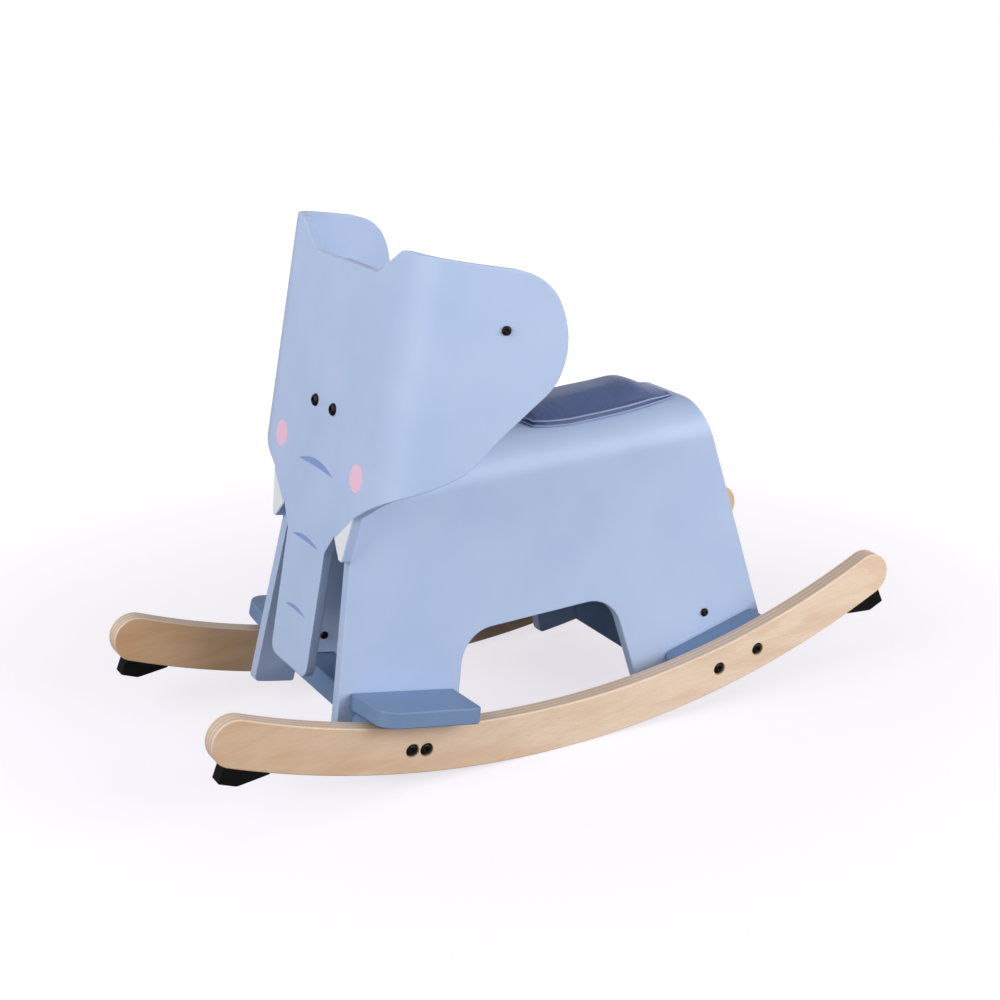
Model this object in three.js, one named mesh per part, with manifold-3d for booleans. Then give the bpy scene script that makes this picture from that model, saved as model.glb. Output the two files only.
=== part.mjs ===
// Rocking elephant for a small child: a bent-plywood body and head on two beech rockers.
// Millimetres, +Z up. The elephant faces -Y, and +X is its left side.
// Everything is built level, as a maker would draw it, and is then leaned nose down
// about the centre of the rockers' arc, as the toy rests under the weight of its head.

import * as THREE from 'three';
import { mergeVertices } from 'three/addons/utils/BufferGeometryUtils.js';
import Module from 'manifold-3d';

const wasm = await Module();
wasm.setup();

const DEG = Math.PI / 180;

// Fits and cutters
const FIT = 0.3;
const OVERRUN = 60;
const REST_TILT = 1.7 * DEG;

// Rockers: two bands cut from board, with round ends
const ROCK_RADIUS = 811.8;
const ROCK_BAND = 40.2;
const ROCK_BOARD = 16;
const ROCK_TRACK = 124.3;
const ROCK_REACH = 312.2;
const ROCK_FACET = 2 * DEG;

// Rubber stops under the rocker ends
const STOP_TOE = 24.2;
const STOP_DROP = 14;
const STOP_THICK_FROM = 8.4;
const STOP_LENGTH = 36;
const STOP_OVER = 4;
const STOP_WIDTH = 14;

// Body: a board bent into an upside-down U, with an arch between the legs
const BODY_BOARD = 10.8;
const LEG_TO_ROCKER = 13.2;
const BODY_SPLAY = 8.24 * DEG;
const BODY_TOP = 257;
const BODY_BEND = 37;
const REAR_REACH = 225.2;
const REAR_LEAN = 12.1 * DEG;
const FRONT_LEG = 113.2;
const HIND_LEG = 145.2;
const ARCH_TOP = 106.2;
const ARCH_ROUND = 32;
const LEG_LIFT = 1.8;
const LEG_ROUND = 6;

// Head: one board with trunk, tusks and ears, whose ears bend back
const HEAD_BOARD = 8.4;
const FACE_REACH = 235.5;
const FACE_LEAN = 12.5 * DEG;
const FACE_HALF_FLAT = 91.7;
const EAR_BEND = 50;
const EAR_SPLAY = 13 * DEG;
const HEAD_TALL = 448.2;
const HEAD_HALF_SPAN = 241.7;
const NOTCH_DEEP = 23.9;
const NOTCH_HALF_FLAT = 56.4;
const NOTCH_HALF_TOP = 93.4;
const NOTCH_ROUND = 10;
const CROWN_ROUND = 15;
const TRUNK_END = 81;
const TRUNK_HALF = 36.1;
const TRUNK_ROUND = 10;
const TRUNK_FLARE_FROM = 191;
const TRUNK_FLARE = 0.9;
const TUSK_ROOT = 208.7;
const TUSK_INNER = 50.1;
const TUSK_TIP = 193.2;
const TUSK_TIP_INNER = 64.3;
const TUSK_TIP_OUTER = 70.7;
const TUSK_OUTER_ROOT = 233;
const TUSK_OUTER = 79.4;
const TUSK_ROUND = 3.1;
// Ear edge from the tusk's root round to the crown: shares of the half span and of the height
const EAR_EDGE_SHARES = [
  [0.479, 0.5683], [0.625, 0.6084], [0.7375, 0.6454], [0.825, 0.708], [0.908, 0.7633],
  [0.9767, 0.8112], [1, 0.8647], [0.985, 0.9185], [0.9375, 0.9665], [0.868, 0.9925], [0.79, 1],
];

// Neck block behind the face, standing on the body
const NECK_HALF_WIDE = 26;
const NECK_DEEP = 22;
const NECK_TALL = 72;

// Handle bar between the ears
const BAR_RADIUS = 11;
const BAR_FROM_EDGE = 51.7;
const BAR_BELOW_TOP = 46.2;

// Front beam, which the front legs straddle
const BEAM_WIDE = 33;
const BEAM_THICK = 21.3;
const BEAM_DROP = 1.8;
const BEAM_NOTCH_GAP = 3.2;

// Rear bulkhead and stretcher between the hind legs
const WALL_BOARD = 16;
const WALL_INSET = 102.6;
const WALL_TOP = 165;
const STRETCHER_WIDE = 40;
const STRETCHER_TALL = 26;

// Blocks that fill the space between the legs and the rockers
const FRONT_BLOCK_FRONT = 46;
const FRONT_BLOCK_REAR = 44;
const REAR_BLOCK_FRONT = 54;
const REAR_BLOCK_REAR = 47.5;
const REAR_BLOCK_DROP = 2;
const BLOCK_LIFT = 6;
const BLOCK_ROUND = 10;

// Painted footrests, which stand out over the rockers and rise outwards a little
const FOOTREST_BOARD = 13.9;
const FOOTREST_SEAT = 2.4;
const FOOTREST_OVERHANG = 21.5;
const FOOTREST_RISE = 6 * DEG;
const FOOTREST_FRONT = 48;
const FOOTREST_REAR = 46;
const FOOTREST_TAPER = 5;
const FOOTREST_FRONT_ROUND = 17;
const FOOTREST_REAR_ROUND = 6;

// Seat pad: a thin board under a crowned leatherette cushion
const SEAT_LONG = 173;
const SEAT_INSET = 67.2;
const SEAT_HALF_WIDE = 45;
const SEAT_CROWN = 15.5;
const SEAT_WELT = 3.2;
const SEAT_SEAM_DEEP = 0.8;
const SEAT_BOARD = 4;
const SEAT_BOARD_HALF = 25;
const SEAT_BOARD_INSET = 12;
const SEAT_BOARD_ROUND = 8;

// Button-head bolts and small screws
const BOLT = { shank: 3, head: 5.25, tall: 2.8, rim: 0.9, crown: 3.1, socket: 2.1, deep: 1.5 };
const SMALL_BOLT = { shank: 2, head: 3.8, tall: 2.2, rim: 0.7, crown: 2.3, socket: 1.4, deep: 1 };
const SCREW = { shank: 2, head: 3.6, tall: 2.1, rim: 0.7, crown: 2.2, socket: 1.4, deep: 1 };
const BOLT_SINK = 3.6;
const BOLT_SINK_RADIUS = 5.9;
const EYE_APART = 17.3;
const EYE_RISE = 42;
const FRONT_BOLT_INSETS = [62, 74.7];
const REAR_BOLT_INSETS = [84.2, 42.2];
const EYE_BOLT_LONG = 26;
const BAR_BOLT_LONG = 30;
const BEAM_BOLT_LONG = 42;
const BLOCK_BOLT_LONG = 24;
const FOOTREST_BOLT_LONG = 44;
const FOOTREST_BOLT_INSET = 75.3;
const FOOTREST_BOLT_DEEP = 4.6;
const STRETCHER_BOLT_LONG = 40;
const STRETCHER_BOLT_INSET = 73;
const STRETCHER_BOLT_RISE = 15.3;
const BLOCK_SCREW_LONG = 22;
const NECK_SCREW_LONG = 32;
const NECK_SCREW_SHARE = 0.54;
const SEAT_SCREW_LONG = 13.6;
const SEAT_SCREW_INSET = 44;
const STOP_SCREW_LONG = 24;
const STOP_SCREW_SINK = 4;

const paint = new THREE.MeshStandardMaterial({ color: 0xb4c6e4, roughness: 0.5, metalness: 0 });
const shadePaint = new THREE.MeshStandardMaterial({ color: 0x8fa6cf, roughness: 0.5, metalness: 0 });
const beech = new THREE.MeshStandardMaterial({ color: 0xe6cdb4, roughness: 0.55, metalness: 0 });
const leatherette = new THREE.MeshStandardMaterial({ color: 0x5d6a8c, roughness: 0.6, metalness: 0 });
const rubber = new THREE.MeshStandardMaterial({ color: 0x2e2e33, roughness: 0.8, metalness: 0 });
const blackSteel = new THREE.MeshStandardMaterial({ color: 0x24252a, roughness: 0.4, metalness: 0.6 });

const SIDES = { left: 1, right: -1 };
const UP = new THREE.Vector3(0, 0, 1);

// Closed solid from a three.js geometry
function solid(geometry) {
  const bare = geometry.clone();
  bare.deleteAttribute('normal');
  bare.deleteAttribute('uv');
  const merged = mergeVertices(bare, FIT / 1000);
  const whole = [];
  const index = merged.index.array;
  for (let i = 0; i < index.length; i += 3) {
    const [a, b, c] = index.slice(i, i + 3);
    if (a !== b && b !== c && c !== a) whole.push(a, b, c);
  }
  return new wasm.Manifold(new wasm.Mesh({
    numProp: 3,
    vertProperties: new Float32Array(merged.attributes.position.array),
    triVerts: new Uint32Array(whole),
  }));
}

// three.js geometry from a closed solid
function surface(body) {
  const found = body.getMesh();
  const geometry = new THREE.BufferGeometry();
  geometry.setAttribute('position', new THREE.BufferAttribute(found.vertProperties, 3));
  geometry.setIndex(new THREE.BufferAttribute(found.triVerts, 1));
  geometry.computeVertexNormals();
  return geometry;
}

// Outline whose corners [a, b, radius] become arcs tangent to both sides
function rounded(corners, turn = 6) {
  const outline = [];
  corners.forEach(([a, b, radius = 0], i) => {
    const here = new THREE.Vector2(a, b);
    if (!radius) {
      outline.push(here);
      return;
    }
    const count = corners.length;
    const back = new THREE.Vector2(...corners[(i + count - 1) % count]).sub(here);
    const ahead = new THREE.Vector2(...corners[(i + 1) % count]).sub(here);
    const shorter = Math.min(back.length(), ahead.length());
    back.normalize();
    ahead.normalize();
    const half = Math.acos(back.dot(ahead)) / 2;
    const reach = Math.min(radius / Math.tan(half), shorter / 2);
    const curve = reach * Math.tan(half);
    const middle = back.clone().add(ahead).normalize();
    const hub = here.clone().addScaledVector(middle, curve / Math.sin(half));
    const from = here.clone().addScaledVector(back, reach).sub(hub).angle();
    const to = here.clone().addScaledVector(ahead, reach).sub(hub).angle();
    let sweep = to - from;
    if (sweep > Math.PI) sweep -= 2 * Math.PI;
    if (sweep < -Math.PI) sweep += 2 * Math.PI;
    for (let k = 0; k <= turn; k += 1) {
      const angle = from + (sweep * k) / turn;
      outline.push(new THREE.Vector2(hub.x + curve * Math.cos(angle), hub.y + curve * Math.sin(angle)));
    }
  });
  return outline;
}

// Prism of an outline, from low to high along the third axis of a basis
function prism(outline, low, high, basis) {
  const geometry = new THREE.ExtrudeGeometry(new THREE.Shape(outline), {
    depth: high - low,
    bevelEnabled: false,
  });
  geometry.translate(0, 0, low);
  return geometry.applyMatrix4(basis);
}

const X = new THREE.Vector3(1, 0, 0);
const Y = new THREE.Vector3(0, 1, 0);

// Prism of a side view (y, z), across the toy
function across(outline, low, high) {
  return solid(prism(outline, low, high, new THREE.Matrix4().makeBasis(Y, UP, X)));
}

// Prism of a front view (z, x), along the toy
function along(outline, low, high) {
  return solid(prism(outline, low, high, new THREE.Matrix4().makeBasis(UP, X, Y)));
}

// Round cutter from the surface point inwards, and a little way outwards
function drill(point, outward, radius, deep) {
  const geometry = new THREE.CylinderGeometry(radius, radius, deep + OVERRUN / 4, 12);
  geometry.rotateX(Math.PI / 2);
  geometry.translate(0, 0, (OVERRUN / 4 - deep) / 2);
  geometry.applyQuaternion(new THREE.Quaternion().setFromUnitVectors(UP, outward));
  geometry.translate(point.x, point.y, point.z);
  return solid(geometry);
}

const toy = new THREE.Group();

function add(name, geometry, material) {
  const mesh = new THREE.Mesh(geometry, material);
  mesh.name = name;
  toy.add(mesh);
  return mesh;
}

// Bolt or screw of revolution, head up, its seat at the origin
function fastener(size, long) {
  const profile = [
    [0, -long], [size.shank, -long], [size.shank, 0], [size.head, 0], [size.head, size.rim],
    [size.crown, size.tall], [size.socket, size.tall], [size.socket, size.tall - size.deep],
    [0, size.tall - size.deep],
  ];
  const geometry = new THREE.LatheGeometry(profile.map(([a, b]) => new THREE.Vector2(a, b)), 12);
  geometry.rotateX(Math.PI / 2);
  return surface(solid(geometry));
}

function addFastener(name, size, long, seat, outward) {
  const mesh = add(name, fastener(size, long), blackSteel);
  mesh.position.copy(seat).addScaledVector(outward, FIT);
  mesh.quaternion.setFromUnitVectors(UP, outward);
}

// The rockers' arc is centred on the axis y = 0, z = ROCK_RADIUS
function onArc(radius, y) {
  return new THREE.Vector2(y, ROCK_RADIUS - Math.sqrt(radius * radius - y * y));
}

function arc(radius, from, to, steps) {
  return Array.from({ length: steps + 1 }, (_, k) => onArc(radius, from + ((to - from) * k) / steps));
}

// Side-view point at a depth below the arc's centre and a run along the tangent there
function tangent(angle, run, depth) {
  return [
    depth * Math.sin(angle) + run * Math.cos(angle),
    ROCK_RADIUS - depth * Math.cos(angle) + run * Math.sin(angle),
  ];
}

const bandMiddle = ROCK_RADIUS - ROCK_BAND / 2;
const rockTop = ROCK_RADIUS - ROCK_BAND;
const rockInner = ROCK_TRACK - ROCK_BOARD;
const bodyHalfFoot = rockInner - LEG_TO_ROCKER;

// Where a leg side that leans by an angle meets the arc at the legs' feet
function footOf(reach, lean) {
  const radius = ROCK_RADIUS - LEG_LIFT;
  const swing = ((reach + Math.tan(lean) * ROCK_RADIUS) * Math.cos(lean)) / radius;
  return onArc(radius, radius * Math.sin(Math.asin(swing) - lean));
}

// Ends of the body at floor level, and what is placed from them
const faceTan = Math.tan(FACE_LEAN);
const rearTan = Math.tan(REAR_LEAN);
const bodyFront = -FACE_REACH + (HEAD_BOARD + FIT) / Math.cos(FACE_LEAN);
const archFront = bodyFront + FRONT_LEG;
const archRear = REAR_REACH - HIND_LEG;
const wallReach = REAR_REACH - WALL_INSET;
const seatRear = REAR_REACH - SEAT_INSET;
const seatFront = seatRear - SEAT_LONG;
const frontBolts = FRONT_BOLT_INSETS.map((inset) => bodyFront + inset);
const rearBolts = REAR_BOLT_INSETS.map((inset) => REAR_REACH - inset);
const footrestBoltY = bodyFront + FOOTREST_BOLT_INSET;
const stretcherBoltY = REAR_REACH - STRETCHER_BOLT_INSET;
const mean = (list) => list.reduce((sum, value) => sum + value, 0) / list.length;
const frontAngle = Math.asin(mean(frontBolts) / bandMiddle);
const rearAngle = Math.asin(mean(rearBolts) / bandMiddle);
const stretcherBoltZ = onArc(rockTop, stretcherBoltY).y + STRETCHER_BOLT_RISE;
const eyePlace = (BODY_TOP + EYE_RISE) / Math.cos(FACE_LEAN);
const barSpanPlace = HEAD_HALF_SPAN - BAR_FROM_EDGE;
const barHeightPlace = HEAD_TALL - BAR_BELOW_TOP;

// Centre of the hoop's bend, out from the middle
const bendHub = bodyHalfFoot - Math.tan(BODY_SPLAY) * (BODY_TOP - BODY_BEND)
  - BODY_BEND / Math.cos(BODY_SPLAY);
const legOut = (side) => new THREE.Vector3(side * Math.cos(BODY_SPLAY), 0, Math.sin(BODY_SPLAY));

// Point on a leg's board at a depth below its outer face
function onLeg(side, y, z, deep) {
  const x = bodyHalfFoot - Math.tan(BODY_SPLAY) * z - deep / Math.cos(BODY_SPLAY);
  return new THREE.Vector3(side * x, y, z);
}

function onBand(side, y, deep) {
  const place = onArc(bandMiddle, y);
  return new THREE.Vector3(side * (ROCK_TRACK - deep), place.x, place.y);
}

// Head board: s runs out from the middle, t up the face, deep into the board
const bendEnd = FACE_HALF_FLAT + EAR_BEND * (Math.PI / 2 - EAR_SPLAY);

function bendAngle(s) {
  return THREE.MathUtils.clamp((Math.abs(s) - FACE_HALF_FLAT) / EAR_BEND, 0, Math.PI / 2 - EAR_SPLAY);
}

function onHead(s, t, deep) {
  const turn = bendAngle(s);
  const straight = Math.max(Math.abs(s) - bendEnd, 0);
  const flat = Math.min(Math.abs(s), FACE_HALF_FLAT);
  const out = flat + (EAR_BEND - deep) * Math.sin(turn) + straight * Math.sin(EAR_SPLAY);
  const back = EAR_BEND - (EAR_BEND - deep) * Math.cos(turn) + straight * Math.cos(EAR_SPLAY);
  return new THREE.Vector3(
    Math.sign(s) * out,
    -FACE_REACH + t * Math.sin(FACE_LEAN) + back * Math.cos(FACE_LEAN),
    t * Math.cos(FACE_LEAN) - back * Math.sin(FACE_LEAN),
  );
}

function headOut(s) {
  const turn = bendAngle(s);
  const back = -Math.cos(turn);
  return new THREE.Vector3(
    Math.sign(s) * Math.sin(turn),
    back * Math.cos(FACE_LEAN),
    -back * Math.sin(FACE_LEAN),
  );
}

const joints = [];
for (const [name, side] of Object.entries(SIDES)) {
  const out = new THREE.Vector3(side, 0, 0);
  frontBolts.forEach((y, i) => joints.push({
    name: `rocker_bolt_front_${name}_${i + 1}`, size: BOLT, long: BEAM_BOLT_LONG,
    seat: onBand(side, y, BOLT_SINK), out, sink: onBand(side, y, 0),
  }));
  rearBolts.forEach((y, i) => joints.push({
    name: `rocker_bolt_rear_${name}_${i + 1}`, size: BOLT, long: BLOCK_BOLT_LONG,
    seat: onBand(side, y, BOLT_SINK), out, sink: onBand(side, y, 0),
  }));
  joints.push({
    name: `eye_bolt_${name}`, size: BOLT, long: EYE_BOLT_LONG,
    seat: onHead(side * EYE_APART, eyePlace, 0), out: headOut(side * EYE_APART),
  });
  joints.push({
    name: `handle_bolt_${name}`, size: SMALL_BOLT, long: BAR_BOLT_LONG,
    seat: onHead(side * barSpanPlace, barHeightPlace, 0), out: headOut(side * barSpanPlace),
  });
  joints.push({
    name: `stretcher_bolt_${name}`, size: SMALL_BOLT, long: STRETCHER_BOLT_LONG,
    seat: onLeg(side, stretcherBoltY, stretcherBoltZ, 0), out: legOut(side),
  });
  const footrestTop = rockTop - FOOTREST_SEAT - FOOTREST_BOARD;
  const footrestBolt = onArc(footrestTop + FOOTREST_BOARD / 2 + FOOTREST_BOLT_DEEP / 2, footrestBoltY).y;
  joints.push({
    name: `footrest_bolt_${name}`, size: SMALL_BOLT, long: FOOTREST_BOLT_LONG,
    seat: onLeg(side, footrestBoltY, footrestBolt, BODY_BOARD), out: legOut(side).negate(),
  });
  const blockMiddle = onArc(bandMiddle, mean(rearBolts));
  joints.push({
    name: `block_screw_${name}`, size: SCREW, long: BLOCK_SCREW_LONG,
    seat: onLeg(side, blockMiddle.x, blockMiddle.y, BODY_BOARD), out: legOut(side).negate(),
  });
  const neckFoot = bodyFront + faceTan * BODY_TOP + NECK_DEEP / 2;
  joints.push({
    name: `neck_screw_${name}`, size: SCREW, long: NECK_SCREW_LONG,
    seat: new THREE.Vector3(side * NECK_SCREW_SHARE * bendHub, neckFoot, BODY_TOP - BODY_BOARD),
    out: UP.clone().negate(),
  });
}
[seatFront + SEAT_SCREW_INSET, seatRear - SEAT_SCREW_INSET].forEach((y, i) => joints.push({
  name: `seat_screw_${i + 1}`, size: SCREW, long: SEAT_SCREW_LONG,
  seat: new THREE.Vector3(0, y, BODY_TOP - BODY_BOARD), out: UP.clone().negate(),
}));

// A piece with the holes of the fasteners that reach it
function drilled(body, ...starts) {
  let result = body;
  for (const { name, size, long, seat, out, sink } of joints) {
    if (!starts.some((start) => name.startsWith(start))) continue;
    result = result.subtract(drill(seat, out, size.shank + FIT, long));
    if (sink) result = result.subtract(drill(sink, out, BOLT_SINK_RADIUS, BOLT_SINK));
  }
  return result;
}

// Rocker outline: facets on the running edge, laid so that one is flat on the floor at rest
function rockerOutline() {
  const endAngle = Math.asin(ROCK_REACH / bandMiddle);
  const outline = [];
  const first = Math.ceil((-endAngle + REST_TILT) / ROCK_FACET + 0.5);
  outline.push([ROCK_RADIUS, -endAngle]);
  for (let k = first; (k - 0.5) * ROCK_FACET - REST_TILT < endAngle; k += 1) {
    outline.push([ROCK_RADIUS, (k - 0.5) * ROCK_FACET - REST_TILT]);
  }
  outline.push([ROCK_RADIUS, endAngle]);
  const points = outline.map(([radius, angle]) => new THREE.Vector2(...tangent(angle, 0, radius)));
  const turn = 8;
  const addEnd = (angle, way) => {
    for (let k = 1; k < turn; k += 1) {
      const swing = (Math.PI * k) / turn;
      const run = (way * ROCK_BAND * Math.sin(swing)) / 2;
      const depth = bandMiddle + (way * way * ROCK_BAND * Math.cos(swing)) / 2;
      points.push(new THREE.Vector2(...tangent(angle, run, way > 0 ? depth : 2 * bandMiddle - depth)));
    }
  };
  addEnd(endAngle, 1);
  const facets = Math.round((2 * endAngle) / ROCK_FACET);
  for (let k = 0; k <= facets; k += 1) {
    points.push(new THREE.Vector2(...tangent(endAngle - (2 * endAngle * k) / facets, 0, rockTop)));
  }
  addEnd(-endAngle, -1);
  return points;
}

// Rubber wedge in side view, under the front end
function stopOutline() {
  const end = Math.asin(ROCK_REACH / bandMiddle);
  const top = ROCK_RADIUS + FIT;
  const low = ROCK_RADIUS + STOP_DROP;
  const along = (radius, back) => new THREE.Vector2(...tangent(-end + back / radius, 0, radius));
  return [
    along(low, -STOP_OVER), along(low, STOP_LENGTH - STOP_TOE + FIT), along(top, STOP_LENGTH),
    along(top, STOP_LENGTH / 2), along(top, 0), along(top, -STOP_OVER),
  ];
}

function stopScrew(frontwards) {
  const end = Math.asin(ROCK_REACH / bandMiddle);
  const angle = frontwards * (end - STOP_THICK_FROM / ROCK_RADIUS);
  const [y, z] = tangent(angle, 0, ROCK_RADIUS + STOP_DROP - STOP_SCREW_SINK);
  const out = new THREE.Vector3(0, Math.sin(angle), -Math.cos(angle));
  return { y, z, out };
}

for (const [name, side] of Object.entries(SIDES)) {
  let rocker = across(rockerOutline(), rockInner, ROCK_TRACK);
  if (side < 0) rocker = across(rockerOutline(), -ROCK_TRACK, -rockInner);
  rocker = drilled(rocker, `rocker_bolt_front_${name}`, `rocker_bolt_rear_${name}`);
  const middle = side * (ROCK_TRACK - ROCK_BOARD / 2);
  for (const [end, way] of [['front', -1], ['rear', 1]]) {
    const outline = stopOutline().map((point) => new THREE.Vector2(-way * point.x, point.y));
    const stop = across(outline, middle - STOP_WIDTH / 2, middle + STOP_WIDTH / 2);
    const { y, z, out } = stopScrew(way);
    const seat = new THREE.Vector3(middle, y, z);
    const bore = drill(seat, out, SCREW.shank + FIT, STOP_SCREW_LONG);
    const mouth = drill(seat, out, SCREW.head + FIT, 0);
    add(`stop_${end}_${name}`, surface(stop.subtract(bore).subtract(mouth)), rubber);
    rocker = rocker.subtract(bore);
    addFastener(`stop_screw_${end}_${name}`, SCREW, STOP_SCREW_LONG, seat, out);
  }
  add(`rocker_${name}`, surface(rocker), beech);
}

// Half of the hoop's section in the front view, from foot to crown, as (z, x)
function hoopSide(inset) {
  const radius = BODY_BEND - inset;
  const foot = bodyHalfFoot - inset / Math.cos(BODY_SPLAY) + Math.tan(BODY_SPLAY) * OVERRUN;
  const points = [new THREE.Vector2(-OVERRUN, foot)];
  const steps = 8;
  for (let k = 0; k <= steps; k += 1) {
    const angle = BODY_SPLAY + ((Math.PI / 2 - BODY_SPLAY) * k) / steps;
    points.push(new THREE.Vector2(
      BODY_TOP - BODY_BEND + radius * Math.sin(angle),
      bendHub + radius * Math.cos(angle),
    ));
  }
  return points;
}

// Whole section, filled, at an inset below the hoop's outer face
function hoopFilled(inset) {
  const half = hoopSide(inset);
  const mirror = half.map((point) => new THREE.Vector2(point.x, -point.y)).reverse();
  return along([...half, ...mirror], -FACE_REACH - OVERRUN, REAR_REACH + OVERRUN);
}

const hoop = hoopFilled(0);
const hoopRoom = hoopFilled(-FIT);
const hoopCore = hoopFilled(BODY_BOARD + FIT);

// Body in side view: both pairs of legs, the arch and the sloping ends
function bodyOutline() {
  const radius = ROCK_RADIUS - LEG_LIFT;
  const frontFoot = footOf(bodyFront, FACE_LEAN);
  const frontHeel = footOf(archFront, FACE_LEAN);
  const hindToe = footOf(archRear, -REAR_LEAN);
  const hindHeel = footOf(REAR_REACH, -REAR_LEAN);
  const corner = (point, round) => [point.x, point.y, round];
  const top = BODY_TOP + OVERRUN;
  const sole = (from, to, steps) => arc(radius, from.x, to.x, steps).slice(1, -1).map((p) => [p.x, p.y]);
  return rounded([
    corner(frontFoot, LEG_ROUND),
    ...sole(frontFoot, frontHeel, 4),
    corner(frontHeel, LEG_ROUND),
    [archFront + faceTan * ARCH_TOP, ARCH_TOP, ARCH_ROUND],
    [archRear - rearTan * ARCH_TOP, ARCH_TOP, ARCH_ROUND],
    corner(hindToe, LEG_ROUND),
    ...sole(hindToe, hindHeel, 6),
    corner(hindHeel, LEG_ROUND),
    [REAR_REACH - rearTan * top, top],
    [bodyFront + faceTan * top, top],
  ]);
}

// Rectangle in side view, in the beam's leaning frame
function beamOutline(front, rear, over, under) {
  const middle = bandMiddle + BEAM_DROP;
  const low = middle + BEAM_THICK / 2 + under;
  const high = middle - BEAM_THICK / 2 - over;
  return [
    tangent(frontAngle, -BEAM_WIDE / 2 - front, high), tangent(frontAngle, BEAM_WIDE / 2 + rear, high),
    tangent(frontAngle, BEAM_WIDE / 2 + rear, low), tangent(frontAngle, -BEAM_WIDE / 2 - front, low),
  ].map((point) => new THREE.Vector2(...point));
}

const beam = across(beamOutline(0, 0, 0, 0), FIT - rockInner, rockInner - FIT);
add('front_beam', surface(drilled(beam, 'rocker_bolt_front')), shadePaint);
const beamNotch = across(beamOutline(BEAM_NOTCH_GAP, FIT, FIT, OVERRUN), -ROCK_TRACK, ROCK_TRACK);

// The shell keeps its board's thickness round the bend
const hoopHollow = hoopFilled(BODY_BOARD);
const sideCut = across(bodyOutline(), -ROCK_TRACK, ROCK_TRACK);
const shell = hoop.subtract(hoopHollow).intersect(sideCut).subtract(beamNotch);
add('body_shell', surface(drilled(
  shell, 'stretcher_bolt', 'footrest_bolt', 'block_screw', 'neck_screw', 'seat_screw',
)), paint);

// Bulkhead and stretcher, fitted between the hind legs
const wallSole = footOf(wallReach, -REAR_LEAN);
const wallBack = footOf(wallReach + WALL_BOARD / Math.cos(REAR_LEAN), -REAR_LEAN);
const wallAt = (z, deep) => new THREE.Vector2(wallReach + deep / Math.cos(REAR_LEAN) - rearTan * z, z);
const wall = across(
  [wallSole, wallBack, wallAt(WALL_TOP, WALL_BOARD), wallAt(WALL_TOP, 0)], -ROCK_TRACK, ROCK_TRACK,
).intersect(hoopCore);
add('rear_bulkhead', surface(wall), shadePaint);

const stretcherDeep = [WALL_BOARD + FIT, WALL_BOARD + FIT + STRETCHER_WIDE];
const stretcherRise = [stretcherBoltZ - STRETCHER_TALL, stretcherBoltZ + STRETCHER_TALL / 2];
const stretcher = across([
  wallAt(stretcherRise[0], stretcherDeep[0]), wallAt(stretcherRise[0], stretcherDeep[1]),
  wallAt(stretcherRise[1], stretcherDeep[1]), wallAt(stretcherRise[1], stretcherDeep[0]),
], -ROCK_TRACK, ROCK_TRACK).intersect(hoopCore);
add('rear_stretcher', surface(drilled(stretcher, 'stretcher_bolt')), shadePaint);

// Blocks in the beam's and the rear bolts' leaning frames
const footrestUnder = rockTop - FOOTREST_SEAT;
const blockSole = ROCK_RADIUS - BLOCK_LIFT;

function blockOutline(angle, front, rear, top) {
  return rounded([
    [...tangent(angle, -front, top), BLOCK_ROUND], [...tangent(angle, -front, blockSole), BLOCK_ROUND],
    [...tangent(angle, rear, blockSole), BLOCK_ROUND], [...tangent(angle, rear, top), BLOCK_ROUND],
  ], 4);
}

// Footrest plan: (x from the leg's face, run), square in front and behind, with two round outer corners
function footrest(side) {
  const legFace = onLeg(1, footrestBoltY, stretcherBoltZ, 0).x;
  const out = (ROCK_TRACK + FOOTREST_OVERHANG - legFace) / Math.cos(FOOTREST_RISE);
  const plan = rounded([
    [-legFace / 2, -FOOTREST_FRONT],
    [out, -FOOTREST_FRONT, FOOTREST_FRONT_ROUND],
    [out, FOOTREST_REAR - FOOTREST_TAPER, FOOTREST_REAR_ROUND],
    [0, FOOTREST_REAR], [-legFace / 2, FOOTREST_REAR],
  ]).map((point) => new THREE.Vector2(side * point.x, point.y));
  const run = new THREE.Vector3(0, Math.cos(frontAngle), Math.sin(frontAngle));
  const up = new THREE.Vector3().crossVectors(X, run);
  const outwards = X.clone().multiplyScalar(Math.cos(FOOTREST_RISE));
  outwards.addScaledVector(up, side * Math.sin(FOOTREST_RISE));
  const basis = new THREE.Matrix4().makeBasis(outwards, run, new THREE.Vector3().crossVectors(outwards, run));
  const geometry = prism(plan, 0, FOOTREST_BOARD, basis);
  const root = up.clone().multiplyScalar(-footrestUnder);
  geometry.translate(side * legFace, root.y, ROCK_RADIUS + root.z);
  return solid(geometry).subtract(hoopRoom);
}

for (const [name, side] of Object.entries(SIDES)) {
  const reach = side > 0 ? [0, rockInner - FIT] : [FIT - rockInner, 0];
  const frontBlock = across(
    blockOutline(frontAngle, FRONT_BLOCK_FRONT, FRONT_BLOCK_REAR, footrestUnder + FIT), ...reach,
  ).subtract(hoopRoom).subtract(beamNotch);
  add(`front_block_${name}`, surface(frontBlock), shadePaint);
  const rearBlock = across(
    blockOutline(rearAngle, REAR_BLOCK_FRONT, REAR_BLOCK_REAR, rockTop + REAR_BLOCK_DROP), ...reach,
  ).subtract(hoopRoom);
  const bored = drilled(rearBlock, `rocker_bolt_rear_${name}`, `block_screw_${name}`);
  add(`rear_block_${name}`, surface(bored), shadePaint);
  add(`footrest_${name}`, surface(drilled(footrest(side), `footrest_bolt_${name}`)), shadePaint);
}

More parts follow.
